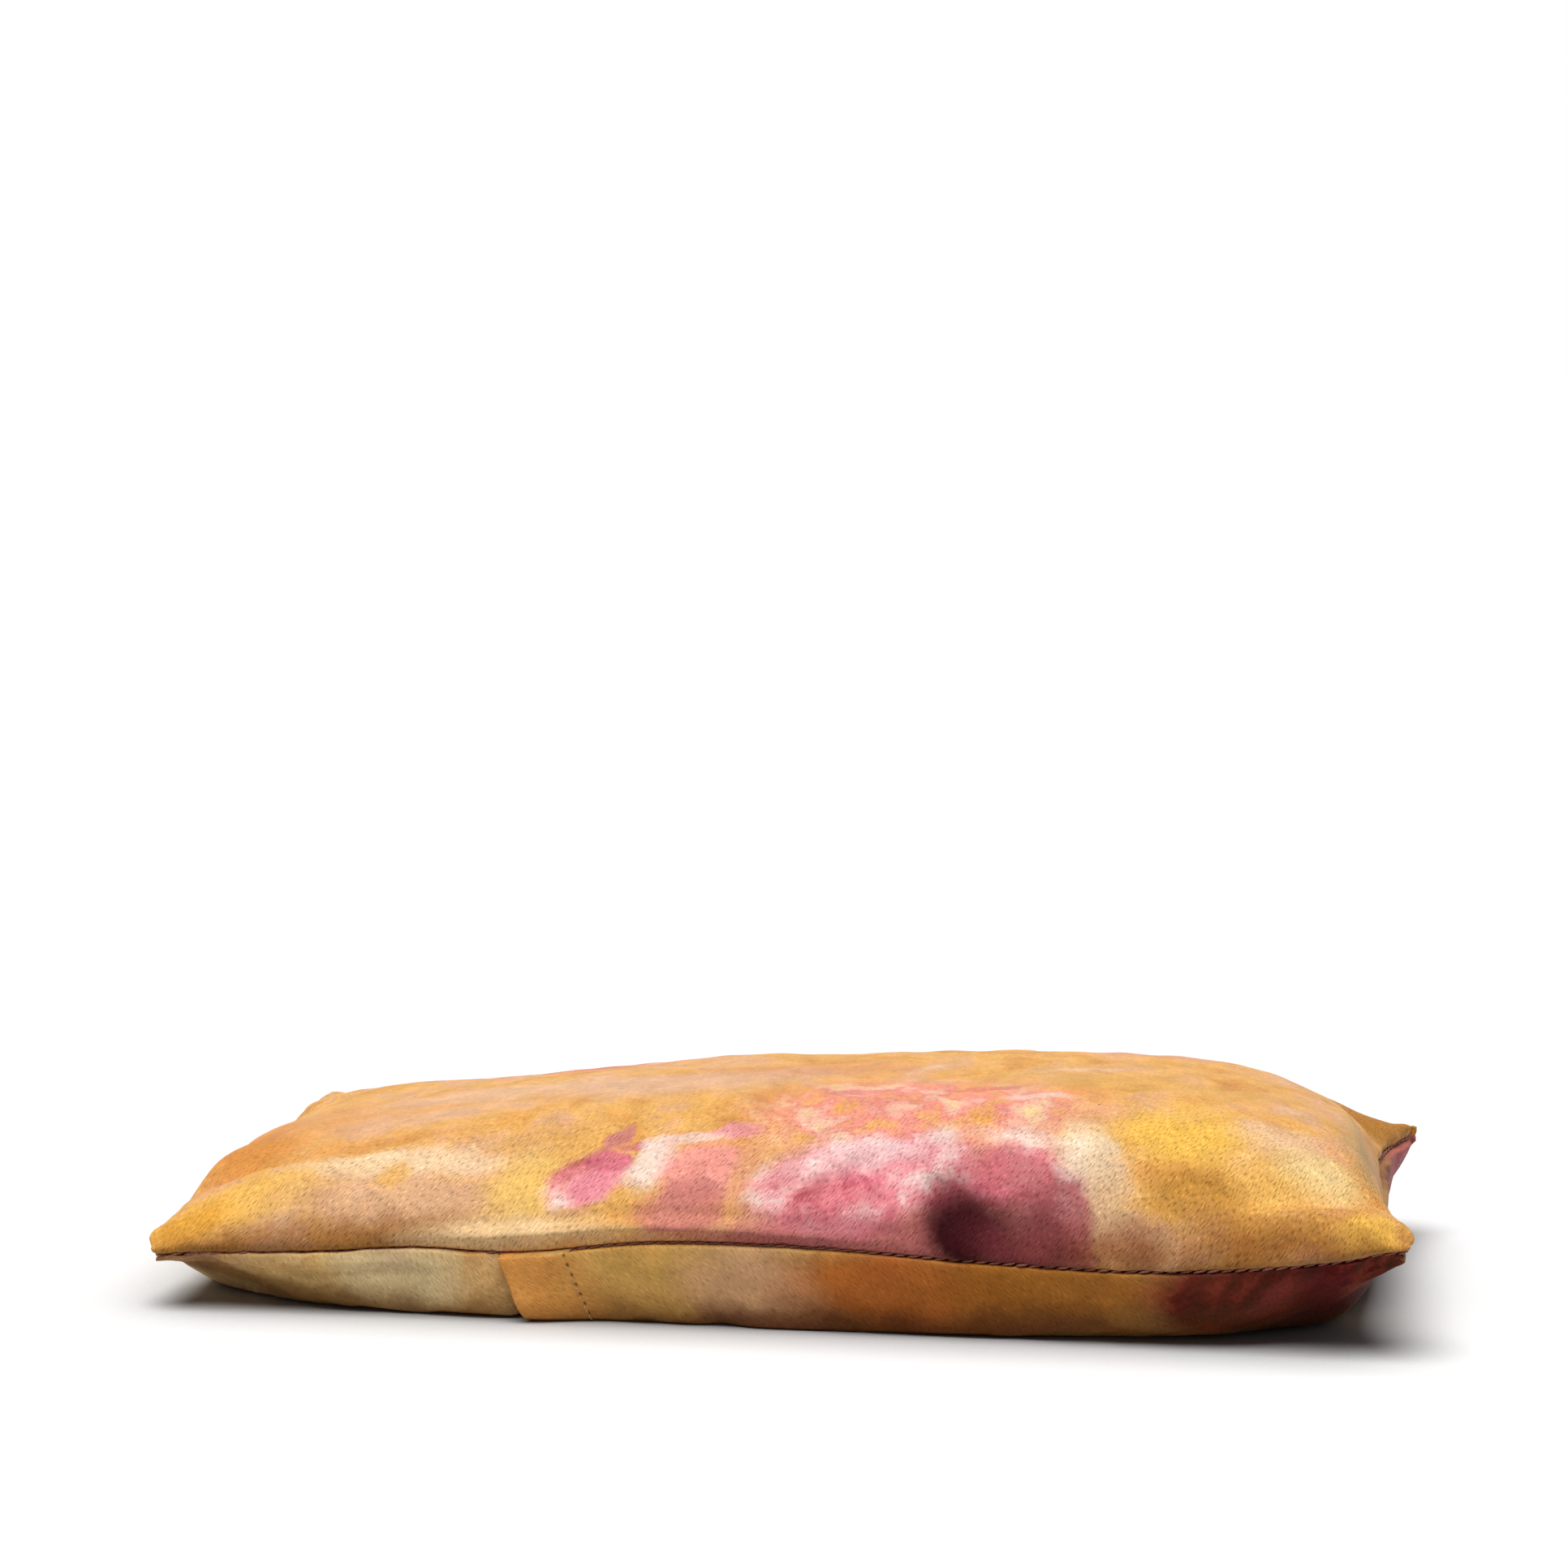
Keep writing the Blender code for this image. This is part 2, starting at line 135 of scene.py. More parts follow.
PLY = 0.5                  # spacing of two plies that lie on each other
UNDERLAP_DEPTH = 2.4 * PLY
UNDERLAP_STEP = (-0.03, -0.004)    # where the underlap steps in behind the flap, as s from the flap's edge

# Seam
ALLOWANCE = 5.0
SEAM_GAP = 0.06
TURN_ANGLES = (22.5, 45.0, 67.5, 90.0)
TURN_STEPS = (0.35, 1.0)   # shares of the allowance
TURNS = len(TURN_ANGLES) + len(TURN_STEPS)
# The same turn as an upright band: shares of its overhang and roll
BAND_IN = (0.0, 0.42, 0.55, 0.68, 1.0)
BAND_DOWN = (0.0, 0.12, 0.5, 0.86, 1.0)

# Rolled edges beside the seam: how far they stand up or down from it, and how far it lies in under them
TOP_FAR_ROLL = 0.8
TOP_EAR_ROLL = 1.7
TOP_NEAR_OVERHANG = 1.6
BAND_OVERHANG = 0.4        # more of it at the upright band, less right of that, and more before the right ear
MIDDLE_OVERHANG = 0.6
RIGHT_OVERHANG = 1.8
TOP_FAR_OVERHANG = 0.9
BACK_ROLL = 0.7
LEFT_EAR_ROLL = 0.5
RIGHT_EAR_ROLL = 1.4
BACK_OVERHANG = 1.0
POCKET_ROLL = 0.9          # more of both in the pocket under the near right ear
POCKET_OVERHANG = 1.4
LEFT_LIP = 0.9             # how far the back stands out past the top at an end, and is held in at a near ear
RIGHT_LIP = 1.8
LEFT_HELD = 2.0
RIGHT_HELD = 3.4


def ease(low, high, value):
    """Return 0 below low, 1 above high and a smooth rise between them."""
    step = np.clip((value - low) / (high - low), 0.0, 1.0)
    return step * step * (3.0 - 2.0 * step)


def blend(first, second, share):
    return first + (second - first) * share


def bell(place, height, centre, width):
    """Return a soft bump of a height about a centre."""
    return height * np.exp(-(((place - centre) / width) ** 2))


def through(stops, place):
    """Return a smooth curve through (place, value) stops."""
    places, values = (np.array(column, float) for column in zip(*stops))
    slopes = np.gradient(values, places)
    index = np.clip(np.searchsorted(places, place) - 1, 0, len(places) - 2)
    width = places[index + 1] - places[index]
    u = np.clip((place - places[index]) / width, 0.0, 1.0)
    start = (1 + 2 * u) * (1 - u) ** 2 * values[index] + u * (1 - u) ** 2 * width * slopes[index]
    stop = u * u * (3 - 2 * u) * values[index + 1] + u * u * (u - 1) * width * slopes[index + 1]
    return start + stop


def ripple(places, size, seed, count=32):
    """Return a seeded unevenness of about +-1 in space, whose waves are about size long."""
    draw = np.random.RandomState(seed)
    total = np.zeros(places.shape[:-1])
    for _ in range(count):
        direction = draw.normal(size=3)
        direction = direction / np.linalg.norm(direction)
        length = size * draw.uniform(0.7, 1.6)
        total += np.sin(2 * math.pi * (places @ direction) / length + draw.uniform(0, 2 * math.pi))
    return total / math.sqrt(count / 2)


def outline(s, t, inset=0.0):
    """Return x and y of a place, with the outline moved in by inset and its tips rounded."""
    end_draw = np.where(s < 0, LEFT_END_DRAW, RIGHT_END_DRAW)
    x = s * (LENGTH / 2 + TIP_SPARE - inset - end_draw * (1 - np.abs(t) ** END_CURVE))
    y = t * (DEPTH / 2 + TIP_SPARE - inset - SIDE_DRAW * (1 - np.abs(s) ** SIDE_CURVE))
    rounding = TIP_ROUNDING * ease(TIP_START, 1, np.abs(s)) * ease(TIP_START, 1, np.abs(t))
    rounding = rounding + NEAR_RIGHT_ROUNDING * ease(0.9, 1, s) * ease(-0.9, -1, t)
    far_left = FAR_LEFT_DRAW * ease(-0.75, -1.0, s) * ease(0.4, 1.0, t)
    return x - np.sign(s) * rounding + far_left, y - np.sign(t) * rounding


def seam_level(s, t):
    return blend(through(NEAR_SEAM, s), through(FAR_SEAM, s), (1 + t) / 2)


def ear_share(s, t):
    """Return 1 at the tips of the flat corner ears and 0 on the filled part."""
    return ease(0.93, 1.12, (np.abs(s) ** EAR_POWER + np.abs(t) ** EAR_POWER) ** (1 / EAR_POWER))


def ridge(x, y, start, stop, width, height):
    """Return a soft ridge, or a valley where height is below 0, from start to stop."""
    along = np.array(stop, float) - start
    share = ((x - start[0]) * along[0] + (y - start[1]) * along[1]) / (along @ along)
    held = np.clip(share, 0, 1)
    off = np.hypot(x - start[0] - held * along[0], y - start[1] - held * along[1])
    taper = ease(-0.25, 0.25, share) * (1 - ease(0.45, 1.25, share))
    return height * taper * np.exp(-((off / width) ** 2))


# Folds of the top panel that run in from its ears, as start, stop, half width and height
TOP_FOLDS = (
    ((-109.0, -46.5), (-74.0, -41.0), 5.0, 1.0),
    ((-113.0, -37.5), (-72.0, -33.0), 3.2, -1.5),
    ((-113.0, -37.0), (-88.0, -35.0), 1.1, -0.6),
    ((-126.0, -34.0), (-102.0, -26.0), 7.0, 4.0),
    ((-118.0, -14.0), (-98.0, -12.0), 6.0, 0.5),
    ((-122.0, 13.0), (-92.0, 9.0), 11.0, -4.2),
    ((-122.0, 31.0), (-94.0, 26.0), 7.0, -2.6),
    ((106.0, -44.5), (60.0, -47.5), 3.4, -2.4),
    ((110.0, -50.0), (76.0, -49.5), 2.6, 1.6),
    ((108.5, -37.0), (95.0, -33.0), 2.2, -2.4),
    ((99.5, 6.0), (103.5, -28.0), 2.2, 1.4),
    ((113.0, 32.0), (90.0, 27.0), 7.0, -3.0),
)


def band_share(s):
    """Return 1 where the near edge of the top panel stands as an upright band above the seam."""
    return ease(-0.62, -0.42, s) * (1 - ease(0.0, 0.25, s))


def near_tip(s, t):
    return ease(0.93, 1.0, np.abs(s)) * ease(-0.9, -1.0, t)


def top_roll(s, t):
    """Return how high the top panel's edge stands above the seam, before it turns in."""
    plain = blend(through(NEAR_BAND, s), TOP_FAR_ROLL, ease(-1, 0, t))
    return blend(plain, TOP_EAR_ROLL, ear_share(s, t)) * (1 - 0.5 * near_tip(s, t))


def top_overhang(s, t):
    """Return how far the seam lies in under the top panel's edge."""
    near = TOP_NEAR_OVERHANG + BAND_OVERHANG * band_share(s)
    near = near - MIDDLE_OVERHANG * ease(0.05, 0.3, s) + RIGHT_OVERHANG * ease(0.76, 0.93, s)
    return blend(near, TOP_FAR_OVERHANG, ease(-1, -0.4, t)) * (1 - 0.7 * near_tip(s, t))


def top_surface(s, t, depth=0.0):
    """Return the top's outer face in its plain form, which rises from the seam to the crown."""
    x, y = outline(s, t, depth)
    roll = top_roll(s, t)
    left = ease(0.0, -1.0, s)
    far = ease(-0.3, 0.8, t)
    side_power = blend(blend(*RIGHT_SIDE_POWERS, far), blend(*LEFT_SIDE_POWERS, far), left)
    end_power = np.where(s < 0, LEFT_END_POWER, blend(*RIGHT_END_POWERS, far))
    end_root = blend(blend(*RIGHT_END_ROOTS, far), blend(*LEFT_END_ROOTS, far), left)
    along = np.maximum(1 - np.abs(s) ** end_power, 0) ** (1 / end_root)
    side_root = SIDE_ROOT - BAND_SIDE_ROOT * band_share(s) * ease(-0.4, -0.9, t)
    across = np.maximum(1 - np.abs(t) ** side_power, 0) ** (1 / side_root)
    slack = FAR_LEFT_SLACK * left * far + FAR_RIGHT_SLACK * ease(0.74, 0.95, s) * far
    slack = slack + RIGHT_SLACK * ease(0.6, 0.9, s)
    share = along * across * (1 - EAR_SLACK * ear_share(s, t)) * (1 - slack)
    height = through(CROWN, s) - seam_level(s, 0 * t) - roll
    folds = sum(ridge(x, y, *fold) for fold in TOP_FOLDS)
    inside = np.sqrt(np.maximum((1 - np.abs(s) ** 30) * (1 - np.abs(t) ** 40), 0))
    z = seam_level(s, t) + roll + height * share + folds * inside
    return np.stack((x, y, z), axis=-1)


def back_roll(s, t):
    """Return how far below the seam the back's edge turns in."""
    pocket = POCKET_ROLL * ease(0.8, 0.97, s) * ease(-0.6, -0.95, t)
    ear = blend(LEFT_EAR_ROLL, RIGHT_EAR_ROLL, ease(-0.5, 0.0, s))
    roll = blend(BACK_ROLL, ear, ear_share(s, t)) + pocket
    return roll * (1 - 0.7 * near_tip(s, t) * (s > 0)) + 0.3 * near_tip(s, t) * (s < 0)


def back_overhang(s, t):
    return BACK_OVERHANG + POCKET_OVERHANG * ease(0.8, 0.97, s) * ease(-0.6, -0.95, t)


def back_lip(s, t):
    """Return how far the back's edge stands out past the top's at the ends, or stays in at the near ears."""
    near = ease(-0.6, -0.95, t)
    left_held = LEFT_HELD * ease(-0.82, -0.97, s) * (1 - 0.7 * ease(-0.94, -0.99, s)) * near
    left = LEFT_LIP * ease(-0.86, -0.98, s) * (1 - near) - left_held
    right = RIGHT_LIP * ease(0.9, 0.98, s) * ease(-0.5, 0.0, t) * (1 - ease(0.8, 0.95, t))
    right_held = RIGHT_HELD * ease(0.66, 0.9, s) * (1 - 0.55 * ease(0.95, 1.0, s)) * ease(-0.5, -0.95, t)
    return left + right - right_held


def base_radius(x, y):
    """Return 1 on the edge of the flat base, and more outside it."""
    wave = sum(height * np.sin(x / length + start) for height, length, start in BASE_WAVES)
    dent = bell(x, *BASE_DENT) * (y < 0)
    power = blend(BASE_LEFT_POWER, BASE_RIGHT_POWER, ease(-30, 30, x))
    long_share = np.abs(x - BASE_MIDDLE) / BASE_HALF_LENGTH
    cross_share = np.abs(y) / (BASE_HALF_DEPTH + wave - dent)
    return (long_share ** power + cross_share ** power) ** (1 / power)


def wall_share(s, t):
    """Return the rise of the back, from 0 on the flat base to 1 at the seam."""
    reach = np.maximum(np.maximum(np.abs(s), np.abs(t)), 1e-6)
    edge_s, edge_t = s / reach, t / reach
    edge_radius = np.maximum(base_radius(*outline(edge_s, edge_t)), 1.03)
    rise = np.clip((base_radius(*outline(s, t)) - 1) / (edge_radius - 1), 0, 1)
    corner = ease(0.55, 1.0, np.minimum(np.abs(edge_s), np.abs(edge_t)))
    foot = math.sqrt(WALL_FOOT)
    straight = (np.sqrt(rise * rise + WALL_FOOT) - foot) / (math.sqrt(1 + WALL_FOOT) - foot)
    bowed = 1 - (1 - straight) ** blend(LEFT_EAR_BOW, 1.0, ease(0.0, 0.8, s))
    return blend(1 - np.sqrt(np.maximum(1 - rise * rise, 0)), bowed, corner)


def back_surface(s, t, depth=0.0):
    """Return the back's outer face, or a ply that lies depth inside it."""
    x, y = outline(s, t, depth - back_lip(s, t))
    z = depth + (seam_level(s, t) - back_roll(s, t) - depth) * wall_share(s, t)
    return np.stack((x, y, z), axis=-1)


def run_length(points, axis):
    """Return the distance along the lines of a grid from their first point."""
    steps = np.linalg.norm(np.diff(points, axis=axis), axis=-1)
    start = np.zeros_like(np.take(steps, [0], axis=axis))
    return np.concatenate((start, np.cumsum(steps, axis=axis)), axis=axis)


PROFILE_POINTS = 4001
SECTION_S = 0.1            # the section whose even cuts space the lines across


def even_lines(cells, profile):
    """Return positions from -1 to 1 that cut a profile of the pillow into even lengths."""
    close = -np.cos(np.linspace(0, math.pi, PROFILE_POINTS))
    run = run_length(profile(close), 0)
    return np.interp(np.linspace(0, run[-1], cells + 1), run, close)


def grid_lines(surface, cells_along, cells_across):
    """Return the lines of s and of t that cut a surface into even cells."""
    along = even_lines(cells_along, lambda s: surface(s, 0 * s))
    across = even_lines(cells_across, lambda t: surface(SECTION_S + 0 * t, t))
    return along, across


def surface_normal(surface, s, t, side):
    """Return the outward directions of a surface: side is 1 for the top and -1 for the back."""
    step = 0.002
    along = surface(np.clip(s + step, -1, 1), t) - surface(np.clip(s - step, -1, 1), t)
    across = surface(s, np.clip(t + step, -1, 1)) - surface(s, np.clip(t - step, -1, 1))
    normal = np.cross(along, across)
    return side * normal / np.maximum(np.linalg.norm(normal, axis=-1, keepdims=True), 1e-9)


# Settling of the silk: the plain form swells as cloth with a little slack, and its folds are kept
SETTLE_CELLS = (110, 58)
SETTLE_FRAMES = 20
SETTLE_PRESSURE = 3.0
SETTLE_SLACK = 0.008
SETTLE_RESTING = 0.6       # height below which the cover is held on the table
SETTLE_SPREAD = 60         # smoothing steps that tell the folds from the swelling of the whole form
SETTLE_REACH = 1.5         # the most that a place moves
SETTLE_HELD = 4            # lines beside the seam that its allowance stiffens


def grid_quads(index, side):
    corners = (index[:-1, :-1], index[1:, :-1], index[1:, 1:], index[:-1, 1:])
    return np.stack(corners[::side], axis=-1).reshape(-1, 4)


def folds_only(shift):
    """Return a grid of moves without their broad part, and with less of them beside the seam."""
    broad = shift
    for _ in range(SETTLE_SPREAD):
        edged = np.pad(broad, ((1, 1), (0, 0), (0, 0)), "edge")
        broad = (edged[:-2] + 2 * edged[1:-1] + edged[2:]) / 4
        edged = np.pad(broad, ((0, 0), (1, 1), (0, 0)), "edge")
        broad = (edged[:, :-2] + 2 * edged[:, 1:-1] + edged[:, 2:]) / 4
    fine = shift - broad
    distance = np.linalg.norm(fine, axis=-1, keepdims=True)
    row, column = np.indices(shift.shape[:2])
    from_seam = np.minimum.reduce((row, row[::-1], column, column[:, ::-1]))
    free = ease(-1, SETTLE_HELD, from_seam)[..., None]
    return free * fine * SETTLE_REACH / (SETTLE_REACH + distance)


def settle_cover(along, across):
    """Return how far the top and the back move when the cover is settled as one closed bag of cloth."""
    s, t = np.meshgrid(along, across, indexing="ij")
    border = (np.abs(s) >= 1) | (np.abs(t) >= 1)
    upper, lower = top_surface(s, t), back_surface(s, t)
    upper[border] = (upper[border] + lower[border]) / 2
    top_index = np.arange(s.size).reshape(s.shape)
    back_index = top_index.copy()
    back_index[~border] = s.size + np.arange((~border).sum())
    places = np.concatenate((upper.reshape(-1, 3), lower[~border]))
    faces = np.concatenate((grid_quads(top_index, 1), grid_quads(back_index, -1)))
    mesh = bpy.data.meshes.new("settling_cover")
    mesh.from_pydata((places * MM).tolist(), [], faces.tolist())
    cover = bpy.data.objects.new("settling_cover", mesh)
    bpy.context.collection.objects.link(cover)
    resting = cover.vertex_groups.new(name="resting")
    resting.add(np.flatnonzero(places[:, 2] < SETTLE_RESTING).tolist(), 1.0, "REPLACE")
    cloth = cover.modifiers.new("cloth", "CLOTH")
    silk = cloth.settings
    silk.vertex_group_mass = "resting"
    silk.quality = 6
    silk.mass = 0.3
    silk.tension_stiffness = 20
    silk.compression_stiffness = 20
    silk.shear_stiffness = 8
    silk.bending_stiffness = 0.1
    silk.shrink_min = -SETTLE_SLACK
    silk.shrink_max = -SETTLE_SLACK
    silk.use_pressure = True
    silk.uniform_pressure_force = SETTLE_PRESSURE
    silk.effector_weights.gravity = 0.0
    cloth.collision_settings.use_collision = False
    cloth.point_cache.frame_end = SETTLE_FRAMES
    for step in range(1, SETTLE_FRAMES + 1):
        bpy.context.scene.frame_set(step)
    settled_mesh = cover.evaluated_get(bpy.context.evaluated_depsgraph_get()).to_mesh()
    moved = np.zeros(places.size, np.float32)
    settled_mesh.vertices.foreach_get("co", moved)
    shift = moved.reshape(-1, 3) / MM - places
    bpy.context.scene.frame_set(1)
    bpy.data.objects.remove(cover)
    bpy.data.meshes.remove(mesh)
    return folds_only(shift[top_index]), folds_only(shift[back_index])


settle_along, settle_across = grid_lines(top_surface, *SETTLE_CELLS)
top_shift, back_shift = settle_cover(settle_along, settle_across)


def spline_weights(lines, places):
    """Return the line before each place, and the shares of the four lines about it."""
    index = np.clip(np.searchsorted(lines, places) - 1, 0, len(lines) - 2)
    u = np.clip((places - lines[index]) / (lines[index + 1] - lines[index]), 0, 1)
    shares = (
        (-u ** 3 + 2 * u ** 2 - u) / 2,
        (3 * u ** 3 - 5 * u ** 2 + 2) / 2,
        (-3 * u ** 3 + 4 * u ** 2 + u) / 2,
        (u ** 3 - u ** 2) / 2,
    )
    return index, shares


def settled(shift, s, t):
    """Return the settling of any places, between the lines that it was worked out on."""
    row, row_shares = spline_weights(settle_along, s)
    column, column_shares = spline_weights(settle_across, t)
    total = np.zeros(s.shape + (3,))
    for i in range(4):
        for j in range(4):
            near_row = np.clip(row + i - 1, 0, len(settle_along) - 1)
            near_column = np.clip(column + j - 1, 0, len(settle_across) - 1)
            total += (row_shares[i] * column_shares[j])[..., None] * shift[near_row, near_column]
    return total


# Unevenness: puckers along the seams, lumps of the seed as height, size and random seed, and bumps beside the
# near seam as height, distance from it and half width
PUCKER_HEIGHT = 0.24
PUCKER_LENGTH = 6.0
PUCKER_REACH = 4.5
LUMPS = ((0.07, 9.0, 13), (0.18, 36.0, 14))
BAND_RIDGE = (0.5, 0.8, 0.9)
BAND_GROOVE = (0.45, 3.2, 1.2)
ALLOWANCE_PAD = (0.3, 1.8, 1.0)
ALLOWANCE_END = (0.5, 3.6, 0.8)


def unevenness(surface, s, t):
    """Return the small lumps of the seed under the silk, and the puckers along its seams."""
    places = surface(s, t)
    from_side = np.linalg.norm(places - surface(s, np.where(t < 0, -1.0, 1.0)), axis=-1)
    from_end = np.linalg.norm(places - surface(np.where(s < 0, -1.0, 1.0), t), axis=-1)
    side_puckers = ripple(places * (1, 0, 0), PUCKER_LENGTH, 11) * np.exp(-from_side / PUCKER_REACH)
    end_puckers = ripple(places * (0, 1, 0), PUCKER_LENGTH, 12) * np.exp(-from_end / PUCKER_REACH)
    lumps = sum(height * ripple(places, size, draw) for height, size, draw in LUMPS)
    return PUCKER_HEIGHT * (side_puckers + end_puckers) + lumps


def from_near_seam(surface, s, t):
    return np.linalg.norm(surface(s, t) - surface(s, -1.0 + 0 * t), axis=-1)


def band_bead(s, t):
    """Return the ridge along the upper edge of the band above the near seam, with the groove behind it."""
    distance = from_near_seam(top_surface, s, t)
    return band_share(s) * (bell(distance, *BAND_RIDGE) - bell(distance, *BAND_GROOVE))


def top_move(s, t):
    """Return how far the top panel's places lie from its plain form."""
    normal = surface_normal(top_surface, s, t, 1)
    out = unevenness(top_surface, s, t) + band_bead(s, t)
    return settled(top_shift, s, t) + normal * out[..., None]


def allowance_crease(s, t):
    """Return the crease below the near seam at the left, where the seam's allowance ends inside."""
    distance = from_near_seam(back_surface, s, t)
    crease = bell(distance, *ALLOWANCE_PAD) - bell(distance, *ALLOWANCE_END)
    return ease(-0.94, -0.86, s) * ease(-0.48, -0.62, s) * crease


def back_move(s, t):
    """Return how far the back's places lie from its plain form."""
    normal = surface_normal(back_surface, s, t, -1)
    free = ease(*BACK_FREE, back_surface(s, t)[..., 2])
    out = unevenness(back_surface, s, t) * free + allowance_crease(s, t)
    return settled(back_shift, s, t) + normal * out[..., None]


def flap_edge(t):
    """Return s of the flap's free edge, which leans from the seam to the base."""
    lean = wall_share(FLAP_UNDER_X / (LENGTH / 2) + 0 * t, t)
    return blend(FLAP_UNDER_X, FLAP_TOP_X, lean) / (LENGTH / 2 - LEFT_END_DRAW)


def flap_move(s, t):
    """Return the back's moves, with the gape of the flap's free edge and the step and dip of its hem."""
    along = (s - flap_edge(t)) * LENGTH / 2
    gape = FLAP_GAPE * (1 - ease(0, GAPE_REACH, along))
    hem = HEM_STEP * (1 - ease(HEM_WIDTH - HEM_EASE, HEM_WIDTH + HEM_EASE, along))
    drawn = HEM_DIP * np.exp(-(((along - HEM_WIDTH + HEM_STITCH_INSET) / HEM_DIP_WIDTH) ** 2))
    place = back_surface(s, t)
    free = ease(*FLAP_FREE, place[..., 2])
    out = surface_normal(back_surface, s, t, -1) * ((gape + hem - drawn) * free)[..., None]
    low = (1 - ease(*SWING_HEIGHTS, place[..., 2])) * ease(*SWING_DEPTHS, place[..., 1])
    out[..., 1] -= FLAP_SWING * (1 - ease(0, SWING_REACH, along)) * low
    return back_move(s, t) + out


def turned_edge(s, t, turn, side, roll, overhang, inset, lift, band=0.0):
    """Return the places of a sewn edge: it rolls in under itself, then its allowance lies in the seam.

    Where band is 1, the roll is an upright band with a crease above it.
    """
    angle = np.radians((0.0,) + TURN_ANGLES + (90.0,) * len(TURN_STEPS))[turn]
    inwards = np.array((0.0,) * (1 + len(TURN_ANGLES)) + TURN_STEPS)[turn] * ALLOWANCE
    band_in, band_down = (np.array(row + row[-1:] * len(TURN_STEPS))[turn] for row in (BAND_IN, BAND_DOWN))
    drawn = inset + overhang * blend(1 - np.cos(angle), band_in, band) + inwards
    z = seam_level(s, t) + side * blend(roll, lift, blend(np.sin(angle), band_down, band))
    return np.stack((*outline(s, t, drawn), z), axis=-1)


def top_edge(s, t, turn, depth):
    band = band_share(s) * ease(-0.9, -1.0, t)
    return turned_edge(s, t, turn, 1, top_roll(s, t), top_overhang(s, t), depth, SEAM_GAP, band)


def back_edge(s, t, turn, depth):
    inset = depth - back_lip(s, t) * (1 - ease(0, len(TURN_ANGLES), turn))
    beside_flap = ease(UNDERLAP_STEP[0], 0.0, s - flap_edge(t))
    lift = SEAM_GAP + FLAP_SEAM_LIFT * beside_flap * (1 - ease(0, UNDERLAP_DEPTH, depth))
    return turned_edge(s, t, turn, -1, back_roll(s, t), back_overhang(s, t), inset, lift)


def sewn_ends(lines, first=True, last=True):
    """Add the lines of a turned-in edge before and after a run of lines; return them with their turns."""
    steps = np.arange(1, TURNS + 1)
    before = steps[::-1] if first else steps[:0]
    after = steps if last else steps[:0]
    turn = np.concatenate((before, np.zeros(len(lines), int), after))
    middle = np.arange(len(lines))
    at = np.concatenate((np.zeros(len(before), int), middle, np.full(len(after), len(lines) - 1)))
    return lines[at], turn


def sewn_panel(s, t, depth, ends, face, edge, move):
    """Return the places of a panel's face and of the edges that turn in at its seams.

    The long sides are sewn, and ends says whether the first and the last row are.
    """
    rows, row_turn = sewn_ends(np.arange(s.shape[0]), *ends)
    columns, column_turn = sewn_ends(np.arange(s.shape[1]))
    pick = np.ix_(rows, columns)
    turn = np.maximum(row_turn[:, None], column_turn[None, :])
    flat_face = face(s, t, depth)[pick]
    places = np.where((turn > 0)[..., None], edge(s[pick], t[pick], turn, depth[pick]), flat_face)
    return places + move(s, t)[pick]


def flat_places(points, first_row):
    """Return the places on the flat cloth, from the lengths along the lines of a panel."""
    middle = points.shape[1] // 2
    along = run_length(points, 0)[:, [middle]]
    across = run_length(points, 1)
    across = across - across[:, [middle]]
    return np.stack((np.broadcast_to(along - along[first_row], across.shape), across), axis=-1)


def add_mesh(name, points, faces, flat, material):
    """Add a piece from points in millimetres, with its places on the flat cloth or thread as a UV map."""
    mesh = bpy.data.meshes.new(name)
    mesh.from_pydata((points.reshape(-1, 3) * MM).tolist(), [], faces.tolist())
    layer = mesh.uv_layers.new(name="cloth")
    layer.uv.foreach_set("vector", (flat.reshape(-1, 2) * MM)[faces.ravel()].astype(np.float32).ravel())
    shape = bmesh.new()
    shape.from_mesh(mesh)
    bmesh.ops.remove_doubles(shape, verts=shape.verts, dist=1e-7)
    bmesh.ops.dissolve_degenerate(shape, edges=shape.edges, dist=1e-8)
    shape.to_mesh(mesh)
    shape.free()
    mesh.shade_smooth()
    mesh.materials.append(material)
    piece = bpy.data.objects.new(name, mesh)
    bpy.context.collection.objects.link(piece)
    return piece


def add_cloth(name, points, first_row, side, material, thickness):
    """Add a panel of cloth from a grid of points on its outer face."""
    index = np.arange(points.shape[0] * points.shape[1]).reshape(points.shape[:2])
    piece = add_mesh(name, points, grid_quads(index, side), flat_places(points, first_row), material)
    ply = piece.modifiers.new("ply", "SOLIDIFY")
    ply.thickness = thickness * MM
    ply.offset = -1
    finished = bpy.data.meshes.new_from_object(piece.evaluated_get(bpy.context.evaluated_depsgraph_get()))
    piece.modifiers.clear()
    piece.data = finished
    return piece


# Panels of the cover
ALONG_TOP, ACROSS_TOP = grid_lines(top_surface, 280, 130)
ALONG_BACK, ACROSS_BACK = grid_lines(back_surface, 250, 116)
CLOSEST_LINE = 0.004       # least distance of a line from the flap's edge, as s
HEM_ROWS = 14
HEM_SHARE = HEM_WIDTH / (LENGTH / 2)
HEM_LINES = np.linspace(HEM_SHARE, 0.0, HEM_ROWS)
UNDERLAP_STOP = (FLAP_UNDER_X + OVERLAP) / (LENGTH / 2 - RIGHT_END_DRAW)


def build_top(material):
    s, t = np.meshgrid(ALONG_TOP, ACROSS_TOP, indexing="ij")
    points = sewn_panel(s, t, 0 * s, (True, True), top_surface, top_edge, top_move)
    return add_cloth("top_panel_silk", points, points.shape[0] // 2, 1, material, SILK)


